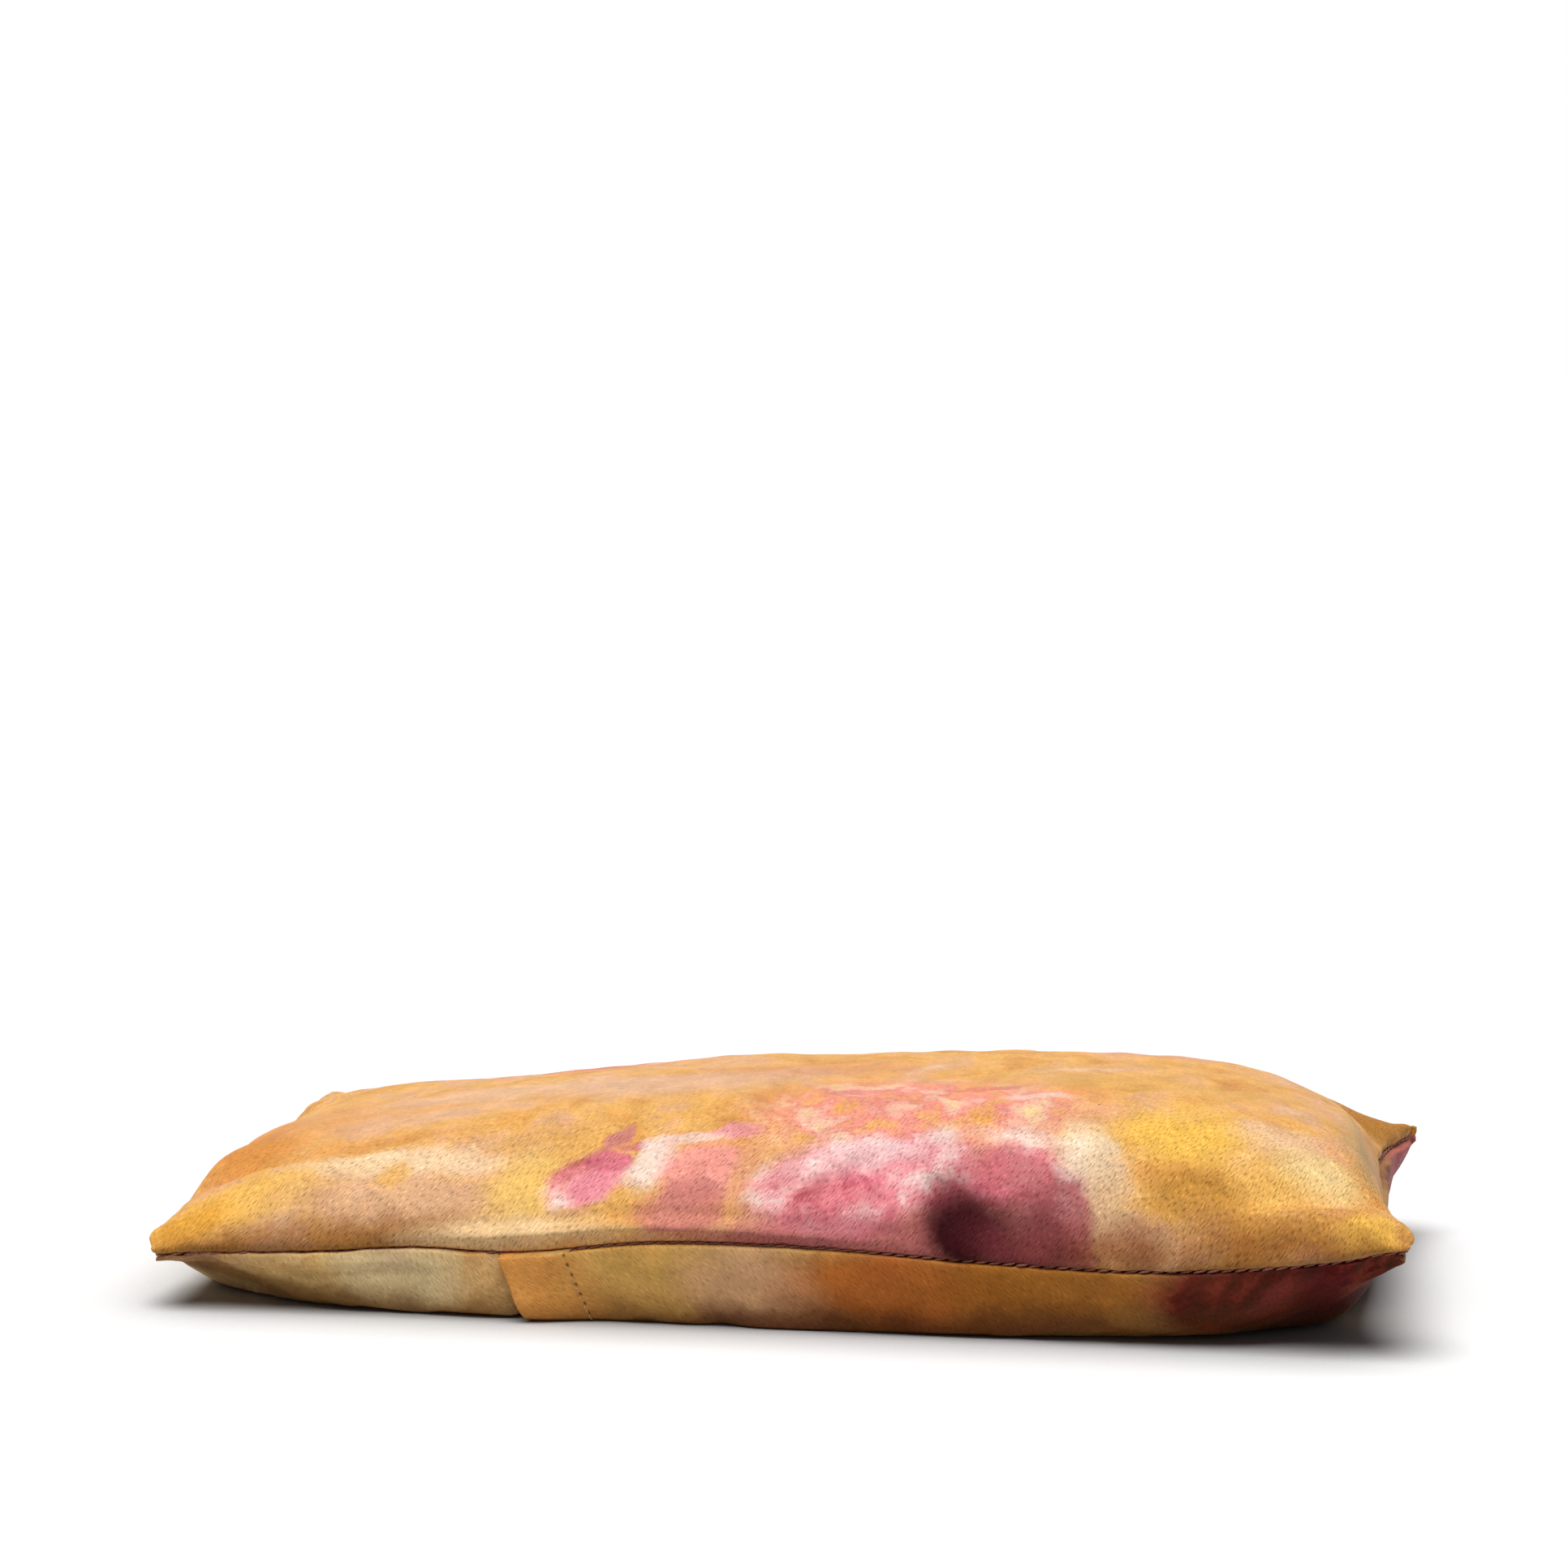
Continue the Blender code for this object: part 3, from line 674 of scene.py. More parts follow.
def build_overlap(material):
    """Add the right back panel, from the hem inside its free edge, over that edge, to the right end."""
    edge_s = flap_edge(ACROSS_BACK)
    start = flap_edge(np.zeros(1))[0]
    face_shares = (ALONG_BACK[ALONG_BACK > start + CLOSEST_LINE] - start) / (1 - start)
    hem_rows = [edge_s + line for line in HEM_LINES]
    face_rows = [blend(edge_s, 1.0, share) for share in np.concatenate(((0.0,), face_shares))]
    s = np.array(hem_rows + face_rows)
    t = np.broadcast_to(ACROSS_BACK, s.shape)
    depth = np.zeros(s.shape)
    depth[:len(hem_rows)] = PLY
    points = sewn_panel(s, t, depth, (False, True), back_surface, back_edge, flap_move)
    return add_cloth("back_panel_overlap_silk", points, len(hem_rows), -1, material, SILK)


def underlap_depth(s, t):
    """Return how far inside the back's face the underlap lies, which is behind the flap right of its edge."""
    return UNDERLAP_DEPTH * ease(*UNDERLAP_STEP, s - flap_edge(t))


def build_underlap(material):
    """Add the left back panel, from the left end to the hidden edge that its hem is turned in at."""
    lines = ALONG_BACK[ALONG_BACK < UNDERLAP_STOP]
    rows = np.concatenate((lines, UNDERLAP_STOP - HEM_LINES[::-1]))
    s, t = np.meshgrid(rows, ACROSS_BACK, indexing="ij")
    depth = underlap_depth(s, t)
    depth[len(lines):] += PLY
    points = sewn_panel(s, t, depth, (True, False), back_surface, back_edge, back_move)
    return add_cloth("back_panel_underlap_silk", points, 0, -1, material, SILK)


# Stitches, as length, rise above the cloth and sink into it, and the radii of their threads
SEAM_PITCH = 2.4
SEAM_STITCH = (2.3, 0.3, 0.3)
SEAM_THREAD = 0.2
SEAM_SLANT = 0.35          # half the height that a seam stitch slants across
SEAM_PLACE = 0.8           # how far in under the top's edge they lie, as a share of its overhang
SEAM_POINTS = 400          # points that a path has on each side
HEM_PITCH = 2.0
HEM_STITCH = (1.7, 0.06, 0.15)
HEM_THREAD = 0.15
HEM_POINTS = 700
HEM_END = 0.999            # t where a hem's path ends
TABLE_GAP = 0.2            # least height of a hem stitch
THREAD_ENDS = 0.6          # radius of a stitch's ends, as a share of the thread's
ASLANT = (0.31, 0.47, 0.83)    # a direction that no stitch follows


def add_stitches(name, lines, radius, material):
    """Add stitches as short closed lengths of thread along lines, an array of stitches by points."""
    length = lines.shape[1]
    tangent = np.gradient(lines, axis=1)
    tangent /= np.linalg.norm(tangent, axis=-1, keepdims=True)
    first = np.cross(tangent, ASLANT)
    first /= np.linalg.norm(first, axis=-1, keepdims=True)
    second = np.cross(tangent, first)
    angle = np.radians((0, 60, 120, 180, 240, 300))
    ends = (THREAD_ENDS, 1, 1, THREAD_ENDS)
    girth = radius * np.interp(np.arange(length), (0, 1, length - 2, length - 1), ends)
    around = np.cos(angle)[:, None] * first[:, :, None] + np.sin(angle)[:, None] * second[:, :, None]
    rings = lines[:, :, None] + girth[:, None, None] * around
    flat = np.zeros(rings.shape[:3] + (2,))
    flat[..., 0] = run_length(lines, 1)[:, :, None]
    flat[..., 1] = angle * radius
    index = np.arange(rings[..., 0].size).reshape(rings.shape[:3])
    turned = np.roll(index, -1, axis=2)
    corners = (turned[:, :-1], turned[:, 1:], index[:, 1:], index[:, :-1])
    walls = np.stack(corners, axis=-1).reshape(-1, 4)
    caps = [index[:, ring][:, corners[::side]]
            for ring, side in ((0, -1), (length - 1, 1)) for corners in ((0, 1, 2, 3), (3, 4, 5, 0))]
    return add_mesh(name, rings, np.concatenate([walls] + caps), flat, material)


def running_stitches(path, out, pitch, length, rise, sink):
    """Return the lines of stitches that come up through the cloth and go down again along a path."""
    run = run_length(path, 0)
    reach = run[-1] / 2 - pitch
    centres = (np.arange(-int(reach / pitch), int(reach / pitch)) + 0.5) * pitch + run[-1] / 2
    half = ((0.2, rise), (0.4, 0.4 * rise), (0.5, -sink))
    shape = np.array([(-place, height) for place, height in half[::-1]] + list(half))
    at = centres[:, None] + shape[:, 0] * length
    places = np.stack([np.interp(at, run, path[:, axis]) for axis in range(3)], axis=-1)
    outwards = np.stack([np.interp(at, run, out[:, axis]) for axis in range(3)], axis=-1)
    return places + outwards * shape[:, 1][:, None]


def seam_path(inset, shift):
    """Return the places round a seam that lies inset inside the outline, and the directions out of it."""
    run = np.linspace(-1, 1, SEAM_POINTS)
    ones = np.ones(SEAM_POINTS)
    s = np.concatenate((run, ones, -run, -ones))
    t = np.concatenate((-ones, run, ones, -run))
    path = np.stack((*outline(s, t, inset(s, t)), seam_level(s, t)), axis=-1) + settled(shift, s, t)
    out = np.stack((np.where(np.abs(s) == 1, s, 0), np.where(np.abs(t) == 1, t, 0), 0 * s), axis=-1)
    return path, out / np.linalg.norm(out, axis=-1, keepdims=True)


def build_cover_stitches(material):
    path, out = seam_path(lambda s, t: SEAM_PLACE * top_overhang(s, t), top_shift)
    stitches = running_stitches(path, out, SEAM_PITCH, *SEAM_STITCH)
    stitches[..., 2] += np.linspace(-SEAM_SLANT, SEAM_SLANT, stitches.shape[1])
    return add_stitches("cover_seam_stitches", stitches, SEAM_THREAD, material)


def hem_path(s, depth, move, side):
    """Return a hem's line of stitches, from functions for its s and depth, and the directions out of it."""
    t = np.linspace(-HEM_END, HEM_END, HEM_POINTS)
    s = s(t)
    return back_surface(s, t, depth(s, t)) + move(s, t), side * surface_normal(back_surface, s, t, -1)


def build_overlap_stitches(material):
    line = (HEM_WIDTH - HEM_STITCH_INSET) / (LENGTH / 2)
    path, out = hem_path(lambda t: flap_edge(t) + line, lambda s, t: 0 * s, flap_move, 1)
    path[:, 2] = np.maximum(path[:, 2], TABLE_GAP)
    stitches = running_stitches(path, out, HEM_PITCH, *HEM_STITCH)
    return add_stitches("overlap_hem_stitches", stitches, HEM_THREAD, material)


def build_underlap_stitches(material):
    line = UNDERLAP_STOP - (HEM_WIDTH - HEM_STITCH_INSET) / (LENGTH / 2)

    def depth(s, t):
        return underlap_depth(s, t) + PLY + SILK

    path, out = hem_path(lambda t: line + 0 * t, depth, back_move, -1)
    stitches = running_stitches(path, out, HEM_PITCH, *HEM_STITCH)
    return add_stitches("underlap_hem_stitches", stitches, HEM_THREAD, material)


# Insert and its seed
INSERT_INSET = 6.0         # how far the insert's seam lies inside the cover's, and how much further at a tip
INSERT_EAR = 5.0
INSERT_FILL = 0.91         # height of the insert's crown, as a share of the cover's
INSERT_LIFT = 2.8
INSERT_ROLL = 0.7
INSERT_OVERHANG = 0.5
INSERT_UNEVENNESS = 0.5    # as a share of the cover's
INSERT_STITCH = (2.2, 0.1, 0.3)
INSERT_STITCH_INSET = 0.4
INSERT_THREAD = 0.13
MUSLIN = 0.3
CLOSING_LENGTH = 44.0
CLOSING_PITCH = 2.8
CLOSING_THREAD = 0.16
CLOSING_WRAP = 115         # angle that a closing stitch runs round the edge, up and down
CLOSING_POINTS = 9
CLOSING_BOW = 0.9          # how far it bows out, from a place this far in, and stands off the cloth
CLOSING_INSET = 0.4
CLOSING_STAND = 0.3
SEED_SPARE = 1.4
SEED_FILL = 0.87
SEED_RELIEF = 0.3          # height and length of the waves on its surface
SEED_WAVE = 3.4


def insert_inset(s, t):
    return INSERT_INSET + INSERT_EAR * ear_share(s, t)


def top_rise(s, t):
    """Return how high the cover's top stands above its edge."""
    return np.maximum(top_surface(s, t)[..., 2] - seam_level(s, t) - top_roll(s, t), 0)


def insert_upper(s, t, depth=0.0):
    z = seam_level(s, t) + INSERT_ROLL + INSERT_FILL * top_rise(s, t)
    return np.stack((*outline(s, t, insert_inset(s, t)), z), axis=-1)


def insert_lower(s, t, depth=0.0):
    z = blend(INSERT_LIFT, seam_level(s, t) - INSERT_ROLL, wall_share(s, t))
    return np.stack((*outline(s, t, insert_inset(s, t)), z), axis=-1)


def build_insert_panel(name, surface, side, material):
    s, t = np.meshgrid(ALONG_TOP[::2], ACROSS_TOP[::2], indexing="ij")

    def edge(s, t, turn, depth):
        return turned_edge(s, t, turn, side, INSERT_ROLL, INSERT_OVERHANG, insert_inset(s, t), SEAM_GAP)

    def move(s, t):
        out = surface_normal(surface, s, t, side)
        return out * INSERT_UNEVENNESS * unevenness(surface, s, t)[..., None]

    points = sewn_panel(s, t, 0 * s, (True, True), surface, edge, move)
    return add_cloth(name, points, points.shape[0] // 2, side, material, MUSLIN)


def build_insert_stitches(material):
    path, out = seam_path(lambda s, t: insert_inset(s, t) + INSERT_STITCH_INSET, 0 * top_shift)
    stitches = running_stitches(path, out, SEAM_PITCH, *INSERT_STITCH)
    return add_stitches("insert_seam_stitches", stitches, INSERT_THREAD, material)


def build_closing_stitches(material):
    """Add the slanted hand stitches that close the filling gap over the insert's right edge."""
    y = np.arange(-CLOSING_LENGTH / 2, CLOSING_LENGTH / 2, CLOSING_PITCH)[:, None]
    angle = np.radians(np.linspace(-CLOSING_WRAP, CLOSING_WRAP, CLOSING_POINTS))
    t = (y + angle / math.pi) / (DEPTH / 2)
    s = np.ones(t.shape)
    x, y = outline(s, t, insert_inset(s, t))
    x = x - CLOSING_INSET + CLOSING_BOW * np.cos(angle)
    z = seam_level(s, t) + (INSERT_ROLL + CLOSING_STAND) * np.sin(angle)
    return add_stitches("insert_closing_stitches", np.stack((x, y, z), axis=-1), CLOSING_THREAD, material)


def build_seed(material):
    """Add the bulk of the seed, with a surface of shallow waves as the seeds leave it."""
    s, t = np.meshgrid(ALONG_TOP[::2], ACROSS_TOP[::2], indexing="ij")
    x, y = outline(s, t, insert_inset(s, t) + SEED_SPARE)
    upper = np.stack((x, y, seam_level(s, t) + SEED_FILL * top_rise(s, t)), axis=-1)
    lower = np.stack((x, y, blend(INSERT_LIFT + SEED_SPARE, seam_level(s, t), wall_share(s, t))), axis=-1)
    inside = (1 - np.abs(s) ** 20) * (1 - np.abs(t) ** 20)
    upper[..., 2] += inside * SEED_RELIEF * ripple(upper, SEED_WAVE, 21)
    lower[..., 2] += inside * SEED_RELIEF * ripple(lower, SEED_WAVE, 22)
    index = np.arange(s.size).reshape(s.shape)
    faces = np.concatenate((grid_quads(index, 1), grid_quads(index + s.size, -1)))
    points = np.stack((upper, lower))
    return add_mesh("flax_seed_bulk", points, faces, points[..., :2], material)


# Materials
def linear(hex_colour):
    """Turn an sRGB hex colour to linear."""
    values = [int(hex_colour[place:place + 2], 16) / 255 for place in (1, 3, 5)]
    return [v / 12.92 if v <= 0.04045 else ((v + 0.055) / 1.055) ** 2.4 for v in values] + [1.0]


def set_sockets(tree, node, sockets):
    """Set each socket of a node to a value, or link it to another node's output."""
    for socket, value in sockets.items():
        if isinstance(value, bpy.types.NodeSocket):
            tree.links.new(value, node.inputs[socket])
        else:
            node.inputs[socket].default_value = value


def add_node(tree, kind, sockets, output=0, **settings):
    """Add a node with its settings and sockets, and return one of its outputs."""
    node = tree.nodes.new("ShaderNode" + kind)
    for name, value in settings.items():
        setattr(node, name, value)
    set_sockets(tree, node, sockets)
    return node.outputs[output]


def new_material(name):
    material = bpy.data.materials.new(name)
    material.use_nodes = True
    return material, material.node_tree, material.node_tree.nodes["Principled BSDF"]


FLECK_WIDTH = 0.28 * MM    # flecks of the twill as they show, coarser than its threads
FLECK_LENGTH = 1.2 * MM
FLECK_RELIEF = 0.04 * MM
TWILL_TURN = 35.0
SMOOTH_CROWN = 18 * MM     # distances from the middle line between which the flecks come to stand out
COARSE_SIDE = 40 * MM
SLUB_SPACING = 13 * MM
CLOUD_SIZE = 17 * MM       # clouds of the ground's dye, swirls inside a bloom and patches of uneven take-up
SWIRL_SIZE = 8 * MM
PATCH_SIZE = 6 * MM
BLEEDS = ((30.0 * MM, 7.0 * MM), (9.0 * MM, 6.0 * MM), (2.2 * MM, 2.0 * MM))    # size and reach of a wander
NEEDLE_PIT = (0.12 * MM, 0.36 * MM)    # radii of a needle pit's painted shade, inside and outside its soft edge

# Dye of the top panel, and painted shade and highlight where marked, from left to right, then the far half:
# place on the flat silk and half sizes in mm, turn, softness of the edge, strength and colour
ROSE = ("#b8505f", "#df7683", "#f2949a", "#fbbcbc", "#fee0d8")
MAROON = ("#2a0506", "#40080a", "#5e1012", "#7c2823", "#44090b")
SALMON = ("#e9a04c", "#f3aa78", "#ef8f86", "#f9bfa8", "#f9d49a")
TOP_GROUND = ("#d08c48", "#e0a055", "#ecb264", "#e6ad7e", "#f0c594")
TOP_BLOOMS_AND_PAINTED_LIGHT = (
    # Peach and gold of the left end
    (-88, -12, 24, 16, 0, 0.6, 0.7, "#e3a468"),
    (-103, -27, 9, 13, 0, 0.5, 0.85, "#dc9146"),
    (-70, -20, 16, 5, 5, 0.6, 0.55, "#e9b896"),
    (-58, -6, 24, 6, 0, 0.6, 0.6, "#ecc0a0"),
    (-76, -33, 16, 2.5, 4, 0.6, 0.6, "#d9924e"),
    (-97, -49, 16, 4.5, 12, 0.6, 0.85, "#f9bf60"),
    (-107, -53, 8, 4, 20, 0.5, 0.85, "#eaa63c"),
    (-70, -42, 18, 4, 0, 0.5, 0.75, "#fbdab0"),
    (-66, -51, 21, 6, -3, 0.5, 0.75, "#e2b28e"),
    (-70, -45, 3, 4, 0, 0.5, 0.7, "#f0b456"),
    (-44, -49, 8, 9, 0, 0.5, 0.85, "#f6c568"),
    (-44, -38, 9, 4, -10, 0.5, 0.6, "#d9a45c"),
    # Rose splash left of the middle
    (-34, -48, 8, 6, 25, 0.25, 0.9, ROSE),
    (-32, -49.5, 4.5, 3.5, 25, 0.22, 0.95, "#f0909a"),
    (-30, -44, 4.5, 2.5, -25, 0.22, 0.9, "#dd7482"),
    (-30, -37.5, 2, 4, -35, 0.3, 0.8, "#c9787a"),
    (-25, -40, 5, 1, 8, 0.3, 0.8, "#c76d72"),
    (-22.5, -44, 4, 6, -10, 0.35, 0.9, "#fde0d0"),
    (-17, -38.5, 6, 1.8, 5, 0.4, 0.8, "#fbd3c4"),
    (-13, -47.5, 8, 7, 0, 0.3, 0.9, "#f79e94"),
    (-17, -55, 8, 5, 10, 0.4, 0.8, "#d27c74"),
    (-9, -37, 5, 2.2, 0, 0.35, 0.8, "#ee9aa2"),
    (-5, -50, 3.5, 11, 0, 0.45, 0.85, "#e4a274"),
    (4, -37, 9, 3, 20, 0.5, 0.6, "#f7c283"),
    (0, -6, 24, 7, 0, 0.6, 0.5, "#d88c62"),
    # Rose cloud right of the middle, with pale streaks along its upper edge and a plum heart
    (-24, -13, 24, 8, 0, 0.6, 0.75, "#e4b696"),
    (24, -30, 29, 14, 3, 0.4, 0.9, SALMON),
    (10, -51, 14, 9.5, 0, 0.25, 0.95, ROSE),
    (28, -48, 18, 9.5, 0, 0.35, 0.95, ROSE),
    (45, -49, 11, 9, 0, 0.55, 0.9, ROSE),
    (48, -54, 9, 8, 0, 0.6, 0.85, "#9e4e50"),
    # Painted shade along the near seam under the rose cloud
    (16, -62, 32, 6, 0, 0.5, 0.85, "#b7606a"),
    (8, -45, 7, 4, 15, 0.8, 0.5, "#fdd9d4"),
    (18, -44, 7, 3, 0, 0.8, 0.7, "#fbd2d0"),
    (29, -39, 3, 3, 30, 0.7, 0.7, "#fde6dc"),
    (35, -40, 4, 4, 20, 0.7, 0.7, "#f4a878"),
    (43, -39, 7, 3, -6, 0.8, 0.7, "#fcdccc"),
    (38, -46, 8, 4, -10, 0.4, 0.7, "#c4666a"),
    (30, -54, 5, 6.5, 10, 0.65, 0.85, "#7a2530"),
    (33, -60.5, 7, 7.5, 20, 0.5, 1.0, "#370c11"),
    (43, -60.5, 9, 5.5, 0, 0.6, 0.65, "#66282e"),
    (45, -63, 9, 4, 0, 0.5, 0.85, "#7d363c"),
    (36, -20.5, 8, 1, 10, 0.4, 0.8, "#dd8274"),
    (12, -24, 8, 1, 12, 0.4, 0.7, "#e08c80"),
    (45, -25, 6, 1.4, -4, 0.4, 0.7, "#f8d2c4"),
    # Cream, gold and ochre of the right end
    (54, -42, 4, 7, 8, 0.6, 0.85, "#fce6c8"),
    (57, -52, 4, 11, 5, 0.6, 0.8, "#e3bc8c"),
    (60, -60, 6, 5, 0, 0.5, 0.7, "#96563c"),
    (60, -14, 24, 6, 0, 0.6, 0.7, "#e3ac5e"),
    (71, -36, 12, 7, 0, 0.6, 0.8, "#fac455"),
    (72, -50, 9, 6, 0, 0.5, 0.85, "#c48a38"),
    (86, -46, 8, 6, 0, 0.5, 0.8, "#f0b85c"),
    (88, -34, 6, 4, 0, 0.8, 0.55, "#f2cdb0"),
    (94, -42, 7, 4.5, -25, 0.8, 0.65, "#fae0a2"),
    (84, -57, 16, 4, 0, 0.5, 0.7, "#b57834"),
    # Painted shade in the valley above the near right ear's lower ridge
    (94, -52, 8, 2.6, 0, 0.7, 0.55, "#bf7f2e"),
    (101, -57, 8, 4, 10, 0.5, 0.85, "#fbc052"),
    # Painted shade on the steep face of the right end, beside its crest
    (105, -22, 4, 16, 0, 0.6, 0.7, "#c8a473"),
    (104, 50, 14, 20, 0, 0.4, 0.95, "#bb7c26"),
    # Painted shade along the near seam, and a painted highlight on the bead of the upright band left of the
    # middle
    (-84, -60, 32, 6, 0, 0.5, 0.75, "#8a5428"),
    (88, -62, 36, 5, 0, 0.5, 0.65, "#8c5226"),
    (-46, -60, 18, 4, 0, 0.5, 0.65, "#fcd9a6"),
    # The far half
    (-30, 28, 34, 10, 8, 0.5, 0.8, ROSE),
    (-72, 38, 22, 14, 0, 0.5, 0.7, "#d99a5f"),
    (-20, 46, 22, 9, -8, 0.4, 0.85, "#d88588"),
    (-6, 50, 10, 5, 12, 0.8, 0.8, "#7d3a42"),
    (34, 34, 26, 12, 10, 0.5, 0.75, "#f6c880"),
    (58, 22, 16, 8, 0, 0.5, 0.7, "#e99b94"),
    (66, 48, 18, 7, 0, 0.45, 0.8, "#fbdcc4"),
)

LEFT_GROUND = ("#c8935a", "#dcae70", "#e9c48a", "#d8a578")
LEFT_BLOOMS_AND_PAINTED_SHADE = (
    (16, -54, 18, 8, 0, 0.5, 0.75, "#a8724e"),
    (50, -50, 14, 6, 0, 0.5, 0.6, "#d9b673"),
    (64, -55, 10, 8, 0, 0.5, 0.6, "#ead4a4"),
    # Painted shade along the foot of the back, where it meets the table
    (45, -47.5, 52, 4.5, 0, 0.7, 0.85, "#7d5428"),
    (36, -60, 30, 1.6, 0, 0.6, 0.5, "#a67a4c"),
    (40, 10, 30, 26, 0, 0.6, 0.6, "#d9bb88"),
    (30, 52, 24, 9, 0, 0.5, 0.7, "#c98a5a"),
)

RIGHT_GROUND = ("#b5813f", "#c99a52", "#d2a762", "#b98e60")
RIGHT_BLOOMS_AND_PAINTED_SHADE = (
    (4, -54, 11, 14, 0, 0.4, 0.85, "#e0974b"),
    (24, -55, 13, 10, 0, 0.5, 0.8, "#dfac5e"),
    (42, -54, 12, 10, 0, 0.45, 0.8, "#dfab81"),
    (66, -57, 18, 8, 0, 0.5, 0.9, "#b66022"),
    (92, -57, 18, 8, 0, 0.5, 0.9, "#a3621f"),
    (124, -56, 18, 13, 0, 0.3, 0.95, MAROON),
    (150, -52, 20, 20, 0, 0.5, 0.95, MAROON),
    (154, 24, 14, 44, 0, 0.4, 0.95, MAROON),
    (128, -52, 7, 3, -20, 0.5, 0.4, "#8e4038"),
    (146, -47, 8, 2.5, 15, 0.5, 0.5, "#9c5a48"),
    (138, -50, 5, 5, 0, 0.4, 0.8, "#571a20"),
    (157, 46, 12, 20, 0, 0.4, 0.9, "#c2686a"),
    # Painted shade along the foot of the back, where it meets the table
    (64, -48, 64, 5, 0, 0.7, 0.9, "#5f2c0e"),
    (138, -38, 22, 9, 0, 0.5, 0.9, "#4a1519"),
    (60, 0, 50, 30, 0, 0.6, 0.6, "#c69b62"),
    (120, 16, 40, 26, 0, 0.6, 0.7, "#a25f4a"),
    (40, 52, 30, 10, 0, 0.5, 0.7, "#b8704e"),
    (110, 54, 30, 9, 0, 0.5, 0.8, "#843c33"),
)


def mixed_hues(tree, amount, hues):
    """Return a colour that runs through hues with a noise's amount."""
    ramp = add_node(tree, "ValToRGB", {0: amount}).node
    stops = ramp.color_ramp.elements
    stops.remove(stops[-1])
    for share, hue in zip(np.linspace(0.3, 0.7, len(hues)), hues):
        stops.new(share).color = linear(hue)
    stops.remove(stops[0])
    return ramp.outputs[0]


def dyed_silk(name, ground, blooms_and_painted_light, grain, needle_holes=False):
    """Hand-dyed silk twill: clouds of dye that bled into each other, diagonal flecks and a soft sheen."""
    material, tree, shader = new_material(name)
    cloth = add_node(tree, "UVMap", {}, uv_map="cloth")

    # The dye bleeds: every cloud's edge wanders, broadly and then finely
    spread = cloth
    for size, reach in BLEEDS:
        noise = add_node(tree, "TexNoise", {"Vector": spread, "Scale": 1 / size, "Detail": 2.0}, "Color")
        level = add_node(tree, "VectorMath", {0: noise, 1: (0.5, 0.5, 0.5)}, operation="SUBTRACT")
        moved = add_node(tree, "VectorMath", {0: level, "Scale": reach}, operation="SCALE")
        spread = add_node(tree, "VectorMath", {0: spread, 1: moved})
    clouds = add_node(tree, "TexNoise", {
        "Vector": spread, "Scale": 1 / CLOUD_SIZE, "Detail": 4.0, "Roughness": 0.6})
    colour = mixed_hues(tree, clouds, ground)
    swirls = add_node(tree, "TexNoise", {
        "Vector": spread, "Scale": 1 / SWIRL_SIZE, "Detail": 3.0, "Roughness": 0.6})
    swirled = {hues: mixed_hues(tree, swirls, hues) for hues in (ROSE, SALMON, MAROON)}
    # Clouds of dye laid one over another; entries marked in their lists are painted shade and painted
    # highlight instead
    for u, v, half_u, half_v, turn, soft, strength, hue in blooms_and_painted_light:
        place = add_node(tree, "Mapping", {
            "Vector": spread, "Location": (u * MM, v * MM, 0), "Rotation": (0, 0, math.radians(turn)),
            "Scale": (half_u * MM, half_v * MM, 1)}, vector_type="TEXTURE")
        reach = add_node(tree, "VectorMath", {0: place}, "Value", operation="LENGTH")
        share = add_node(tree, "MapRange", {
            "Value": reach, "From Min": 1 - soft, "From Max": 1 + soft, "To Min": strength, "To Max": 0.0},
            interpolation_type="SMOOTHSTEP")
        dye = swirled[hue] if hue in swirled else linear(hue)
        colour = add_node(tree, "Mix", {0: share, 6: colour, 7: dye}, 2, data_type="RGBA")

    # Uneven take-up of the dye, in fine clouds
    patches = add_node(tree, "TexNoise", {
        "Vector": spread, "Scale": 1 / PATCH_SIZE, "Detail": 5.0, "Roughness": 0.65})
    depth = add_node(tree, "MapRange", {
        "Value": patches, "From Min": 0.3, "From Max": 0.7, "To Min": 0.84, "To Max": 1.14})

    # Twill: diagonal flecks as bumps, and as painted glints and shade, stronger on the sides than the crown
    turned = add_node(tree, "Mapping", {"Vector": cloth, "Rotation": (0, 0, math.radians(TWILL_TURN))})
    drawn = add_node(tree, "Mapping", {"Vector": turned, "Scale": (1 / FLECK_WIDTH, 1 / FLECK_LENGTH, 1)})
    flecks = add_node(tree, "TexNoise", {"Vector": drawn, "Scale": 1.0, "Detail": 1.0})
    painted_glint = add_node(tree, "MapRange", {"Value": flecks, "From Min": 0.56, "From Max": 0.7})
    pit = add_node(tree, "MapRange", {"Value": flecks, "From Min": 0.44, "From Max": 0.3})
    height = add_node(tree, "Math", {0: painted_glint, 1: pit}, operation="SUBTRACT")
    across = add_node(tree, "SeparateXYZ", {"Vector": spread}, "Y")
    from_middle = add_node(tree, "Math", {0: across}, operation="ABSOLUTE")
    contrast = add_node(tree, "MapRange", {
        "Value": from_middle, "From Min": SMOOTH_CROWN, "From Max": COARSE_SIDE,
        "To Min": 0.35 * grain, "To Max": 1.1 * grain}, interpolation_type="SMOOTHSTEP")
    # Painted glints and painted shade of the flecks, laid into the colour
    painted_fleck_shading = add_node(tree, "MapRange", {
        "Value": height, "From Min": -1.0, "To Min": -0.36, "To Max": 0.4})
    shade = add_node(tree, "Math", {0: painted_fleck_shading, 1: contrast, 2: 1.0}, operation="MULTIPLY_ADD")

    # A few dark slubs
    slubs = add_node(tree, "TexVoronoi", {"Vector": cloth, "Scale": 1 / SLUB_SPACING}, "Distance")
    dark = add_node(tree, "MapRange", {"Value": slubs, "From Min": 0.012, "From Max": 0.025, "To Min": 0.3})
    tone = add_node(tree, "Math", {0: shade, 1: dark}, operation="MULTIPLY")
    tone = add_node(tree, "Math", {0: tone, 1: depth}, operation="MULTIPLY")

    if needle_holes:
